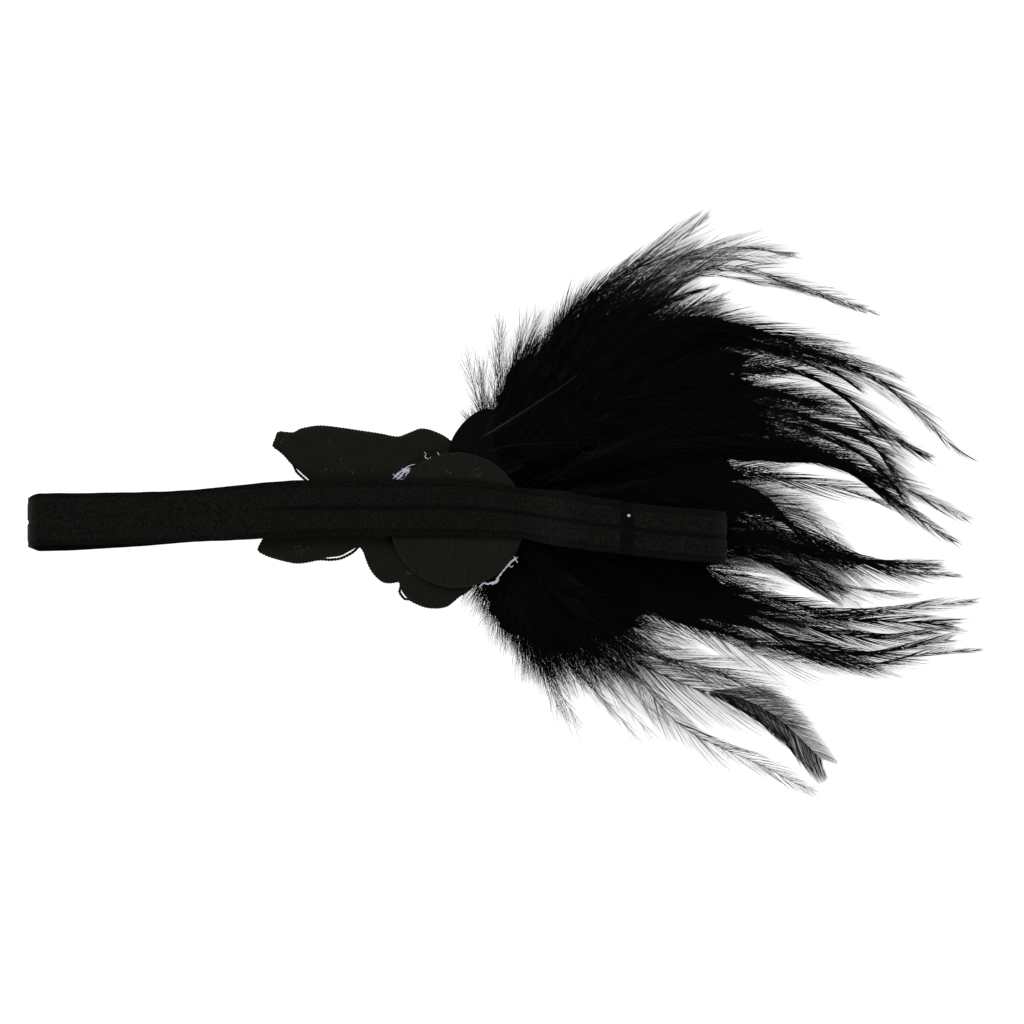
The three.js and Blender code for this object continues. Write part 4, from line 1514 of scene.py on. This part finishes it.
feathers.sort(key=aside, reverse=True)
quarter = len(feathers) // 4
groups = {
    "upper_hackles": feathers[:quarter],
    "high_middle_hackles": feathers[quarter : 2 * quarter],
    "low_middle_hackles": feathers[2 * quarter : 3 * quarter],
    "lower_hackles": feathers[3 * quarter :],
    "upper_down": tufts[::2],
    "lower_down": tufts[1::2],
}
plume_pieces = []
for name, picked in groups.items():
    barbs, radii = join(picked, "barbs"), join(picked, "barb_radius")
    plume_pieces.append(strands(name, barbs, radii, BARBS, flat=BARB_FLAT))
everything = feathers + tufts
shafts, webs = stack(everything, "shaft"), stack(everything, "web_radius")
web_paths = shafts - (0, 0, WEB_DROP)
web_paths[..., 2] = np.maximum(web_paths[..., 2], FLOOR_GAP + WEB_FLAT * webs)
plume_pieces.append(strands("shafts", shafts, stack(everything, "shaft_radius"), VANE, sides=4))
plume_pieces.append(strands("webs", web_paths, webs, VANE, sides=4, flat=WEB_FLAT))
plume_pieces.append(join_skins([sheet for feather in everything for sheet in feather["skin"]]))
for piece in plume_pieces:
    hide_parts("feather_plume")

# %% [markdown]
# ### Bare quills on top
#
# Over the round feather a few shafts show lighter than the rest, because bare keratin shines. One has
# sprung into a small ring. They lie on the pile, so their height follows its top.

# %% Bare quills
BARE_PX = [
    [(484, 437), (497, 429), (530, 408), (566, 384), (579, 373)],
    [(474, 458), (480, 444), (488, 428), (494, 414)],
    [(486, 470), (500, 467), (510, 464), (520, 461)],
    [(486, 452), (510, 446), (536, 444), (576, 443)],
]
RING_PX = (588, 442)
RING_RADIUS = 3.2
RING_TURNS = np.radians(np.linspace(170, 405, SHAFT_RINGS))


BARE_HEIGHTS = (4.7, PLUME_TOP + 1.5)  # on the round feather, and on the pile


def lie_on_top(line):
    return np.column_stack([line, mix(*BARE_HEIGHTS, off_disc(line[:, 0], line[:, 1]))])


bare = [lie_on_top(line_through(plan(px), SHAFT_RINGS)) for px in BARE_PX]
ring_middle = plan([RING_PX])[0]
ring = ring_middle + RING_RADIUS * np.stack([np.cos(RING_TURNS), np.sin(RING_TURNS)], axis=1)
bare.append(lie_on_top(ring))
bare_radii = np.linspace([0.38, 0.12, 0.12, 0.08, 0.1], [0.16, 0.06, 0.07, 0.06, 0.07], SHAFT_RINGS).T
bare_quills = strands("bare_quills", np.stack(bare), bare_radii, QUILL, sides=6)

# %% [markdown]
# ## Glue and lint
#
# Hot-melt glue has squeezed out beside the disc and set in milky strings and blobs, and pale lint clings to
# the cloth. Small as they are, they are the only bright marks on a black object, so each goes where the
# photograph shows it.

# %% Dried glue
GLUE_STRINGS = [  # route in pixels, height and radius at the thickest in millimetres
    ([(479, 587), (484, 583), (488, 584), (492, 582)], 5.3, 0.24),
    ([(489, 583), (493, 583), (497, 581), (499, 577)], 5.4, 0.42),
    ([(496, 579), (500, 575), (503, 571), (507, 567)], 5.5, 0.26),
    ([(504, 570), (508, 565), (512, 561), (518, 557)], 5.6, 0.3),
    ([(503, 564), (508, 564), (511, 567), (514, 565)], 5.7, 0.15),
    ([(514, 556), (516, 560), (518, 563)], 5.7, 0.18),
    ([(424, 452), (426, 454), (425, 457), (429, 459), (431, 456)], 3.75, 0.14),
    ([(437, 452), (439, 455), (437, 457)], 3.75, 0.12),
    ([(393, 479), (397, 474), (402, 471), (409, 466), (416, 464)], 3.8, 0.2),
    ([(396, 480), (401, 476), (406, 470), (411, 468)], 3.9, 0.3),
    ([(399, 480), (404, 479), (408, 473), (411, 474)], 3.9, 0.32),
    ([(393, 474), (396, 477), (399, 474), (403, 477)], 3.8, 0.2),
    ([(402, 468), (405, 472), (409, 470), (407, 476)], 3.8, 0.22),
]
GLUE_RINGS = 24
glue_paths, glue_radii = [], []
for px, height, radius in GLUE_STRINGS:
    line = line_through(plan(px), GLUE_RINGS)
    glue_paths.append(np.column_stack([line, np.full(GLUE_RINGS, height)]))
    lumps = 1 + 0.35 * drift(GLUE_RINGS, 3)
    glue_radii.append(radius * lumps * np.sin(np.linspace(0.25, np.pi, GLUE_RINGS)) ** 0.6)
glue = strands("dried_glue", np.stack(glue_paths), np.stack(glue_radii), GLUE, sides=8, flat=0.6)


BEAD_PX = (628, 515.5)
BEAD_RADIUS = 0.5
BEAD_HEIGHT = 15.0


def make_bead():
    bm = bmesh.new()
    bmesh.ops.create_icosphere(bm, subdivisions=3, radius=BEAD_RADIUS)
    bmesh.ops.scale(bm, vec=(1, 0.85, 0.7), verts=bm.verts)
    bmesh.ops.translate(bm, vec=(*plan([BEAD_PX])[0], BEAD_HEIGHT), verts=bm.verts)
    return bm


bead = from_bmesh("glue_bead", make_bead(), GLUE)

# %% Lint
LINT_SPOTS = [  # middle in pixels, spread in millimetres, number of fibres, height in millimetres
    ((282, 440), 1.6, 5, 3.62),
    ((330, 443), 0.5, 3, 3.62),
    ((341, 460), 0.8, 4, 3.62),
    ((327, 472), 1.4, 8, 3.62),
    ((352, 473), 1.6, 9, 3.62),
    ((373, 468), 0.8, 3, 3.62),
    ((303, 550), 1.0, 9, 3.62),
    ((296, 545), 0.7, 3, 3.62),
    ((410, 573), 0.7, 5, 6.4),
    ((479, 473), 1.1, 9, 6.4),
    ((450, 470), 1.6, 6, 6.4),
    ((474, 586), 0.5, 3, 3.5),
]
LINT_RINGS = 6
lint_paths, lint_radii = [], []
for px, spread, count, height in LINT_SPOTS:
    for _ in range(count):
        start = plan([px])[0] + dice.normal(0, spread * 0.5, 2)
        turn = dice.uniform(0, 2 * np.pi) + np.cumsum(dice.normal(0, 0.5, LINT_RINGS))
        steps = np.stack([np.cos(turn), np.sin(turn)], axis=1) * dice.uniform(0.05, 0.22)
        line = start + np.cumsum(steps, axis=0)
        lint_paths.append(np.column_stack([line, height + dice.uniform(0, 0.08, LINT_RINGS)]))
        lint_radii.append(np.full(LINT_RINGS, dice.uniform(0.03, 0.09)))
lint = strands("lint", np.stack(lint_paths), np.stack(lint_radii), LINT, sides=4)

# %% [markdown]
# ## Camera, light and surface
#
# The photograph was taken from straight above on a bright white surface, so bright that no shadow is left.
# The camera looks straight down from 1.5 m, and its lens is worked out so that one pixel is 0.282 mm on the
# feathers. The surface glows white, and a few large dim lights from above draw the nap and the shafts.

# %% Camera and light
PHOTO_SIZE = 1024
VIEW_HEIGHT = 1500
SENSOR = 36
FOCUS_HEIGHT = 4
middle_view = plan([(PHOTO_SIZE / 2, PHOTO_SIZE / 2)])[0]

lens_data = bpy.data.cameras.new("camera")
lens_data.sensor_width = SENSOR
lens_data.lens = SENSOR * (VIEW_HEIGHT - FOCUS_HEIGHT) / (PHOTO_SIZE * PIXEL_MM)
camera = bpy.data.objects.new("camera", lens_data)
camera.location = (middle_view[0] * MM, middle_view[1] * MM, VIEW_HEIGHT * MM)
bpy.context.scene.collection.objects.link(camera)
bpy.context.scene.camera = camera
bpy.context.scene.view_settings.view_transform = "Standard"
print("lens", round(lens_data.lens), "mm")


def soft_light(name, place, size, power):
    """A square light that faces the part. place is in metres."""
    data = bpy.data.lights.new(name, "AREA")
    data.size = size
    data.energy = power
    light = bpy.data.objects.new(name, data)
    light.location = place
    light.rotation_euler = (-Vector(place)).to_track_quat("-Z", "Y").to_euler()
    bpy.context.scene.collection.objects.link(light)


soft_light("key", (-0.7, 0.8, 1.1), 0.9, 4.0)
soft_light("fill", (0.9, -0.5, 1.2), 0.9, 2.5)

world = bpy.data.worlds.new("studio")
world.use_nodes = True
world.node_tree.nodes.clear()
sky = add_node(world.node_tree, "ShaderNodeBackground", {"Color": linear("#404040"), "Strength": 1.0})
add_node(world.node_tree, "ShaderNodeOutputWorld", links={"Surface": sky.outputs["Background"]})
bpy.context.scene.world = world

# %% Surface
floor_material, floor_tree = start_material("white_light_table")
floor_glow = add_node(
    floor_tree,
    "ShaderNodeBsdfPrincipled",
    {
        "Base Color": linear("#f4f4f4"),
        "Roughness": 0.9,
        "Emission Color": linear("#ffffff"),
        "Emission Strength": 1.0,
    },
)
add_node(floor_tree, "ShaderNodeOutputMaterial", links={"Surface": floor_glow.outputs["BSDF"]})
FLOOR_SIZE = 10
floor_bm = bmesh.new()
bmesh.ops.create_grid(floor_bm, x_segments=1, y_segments=1, size=FLOOR_SIZE)
floor_mesh = bpy.data.meshes.new("surface")
floor_bm.to_mesh(floor_mesh)
floor_bm.free()
floor = bpy.data.objects.new("surface", floor_mesh)
floor_mesh.materials.append(floor_material)
bpy.context.scene.collection.objects.link(floor)
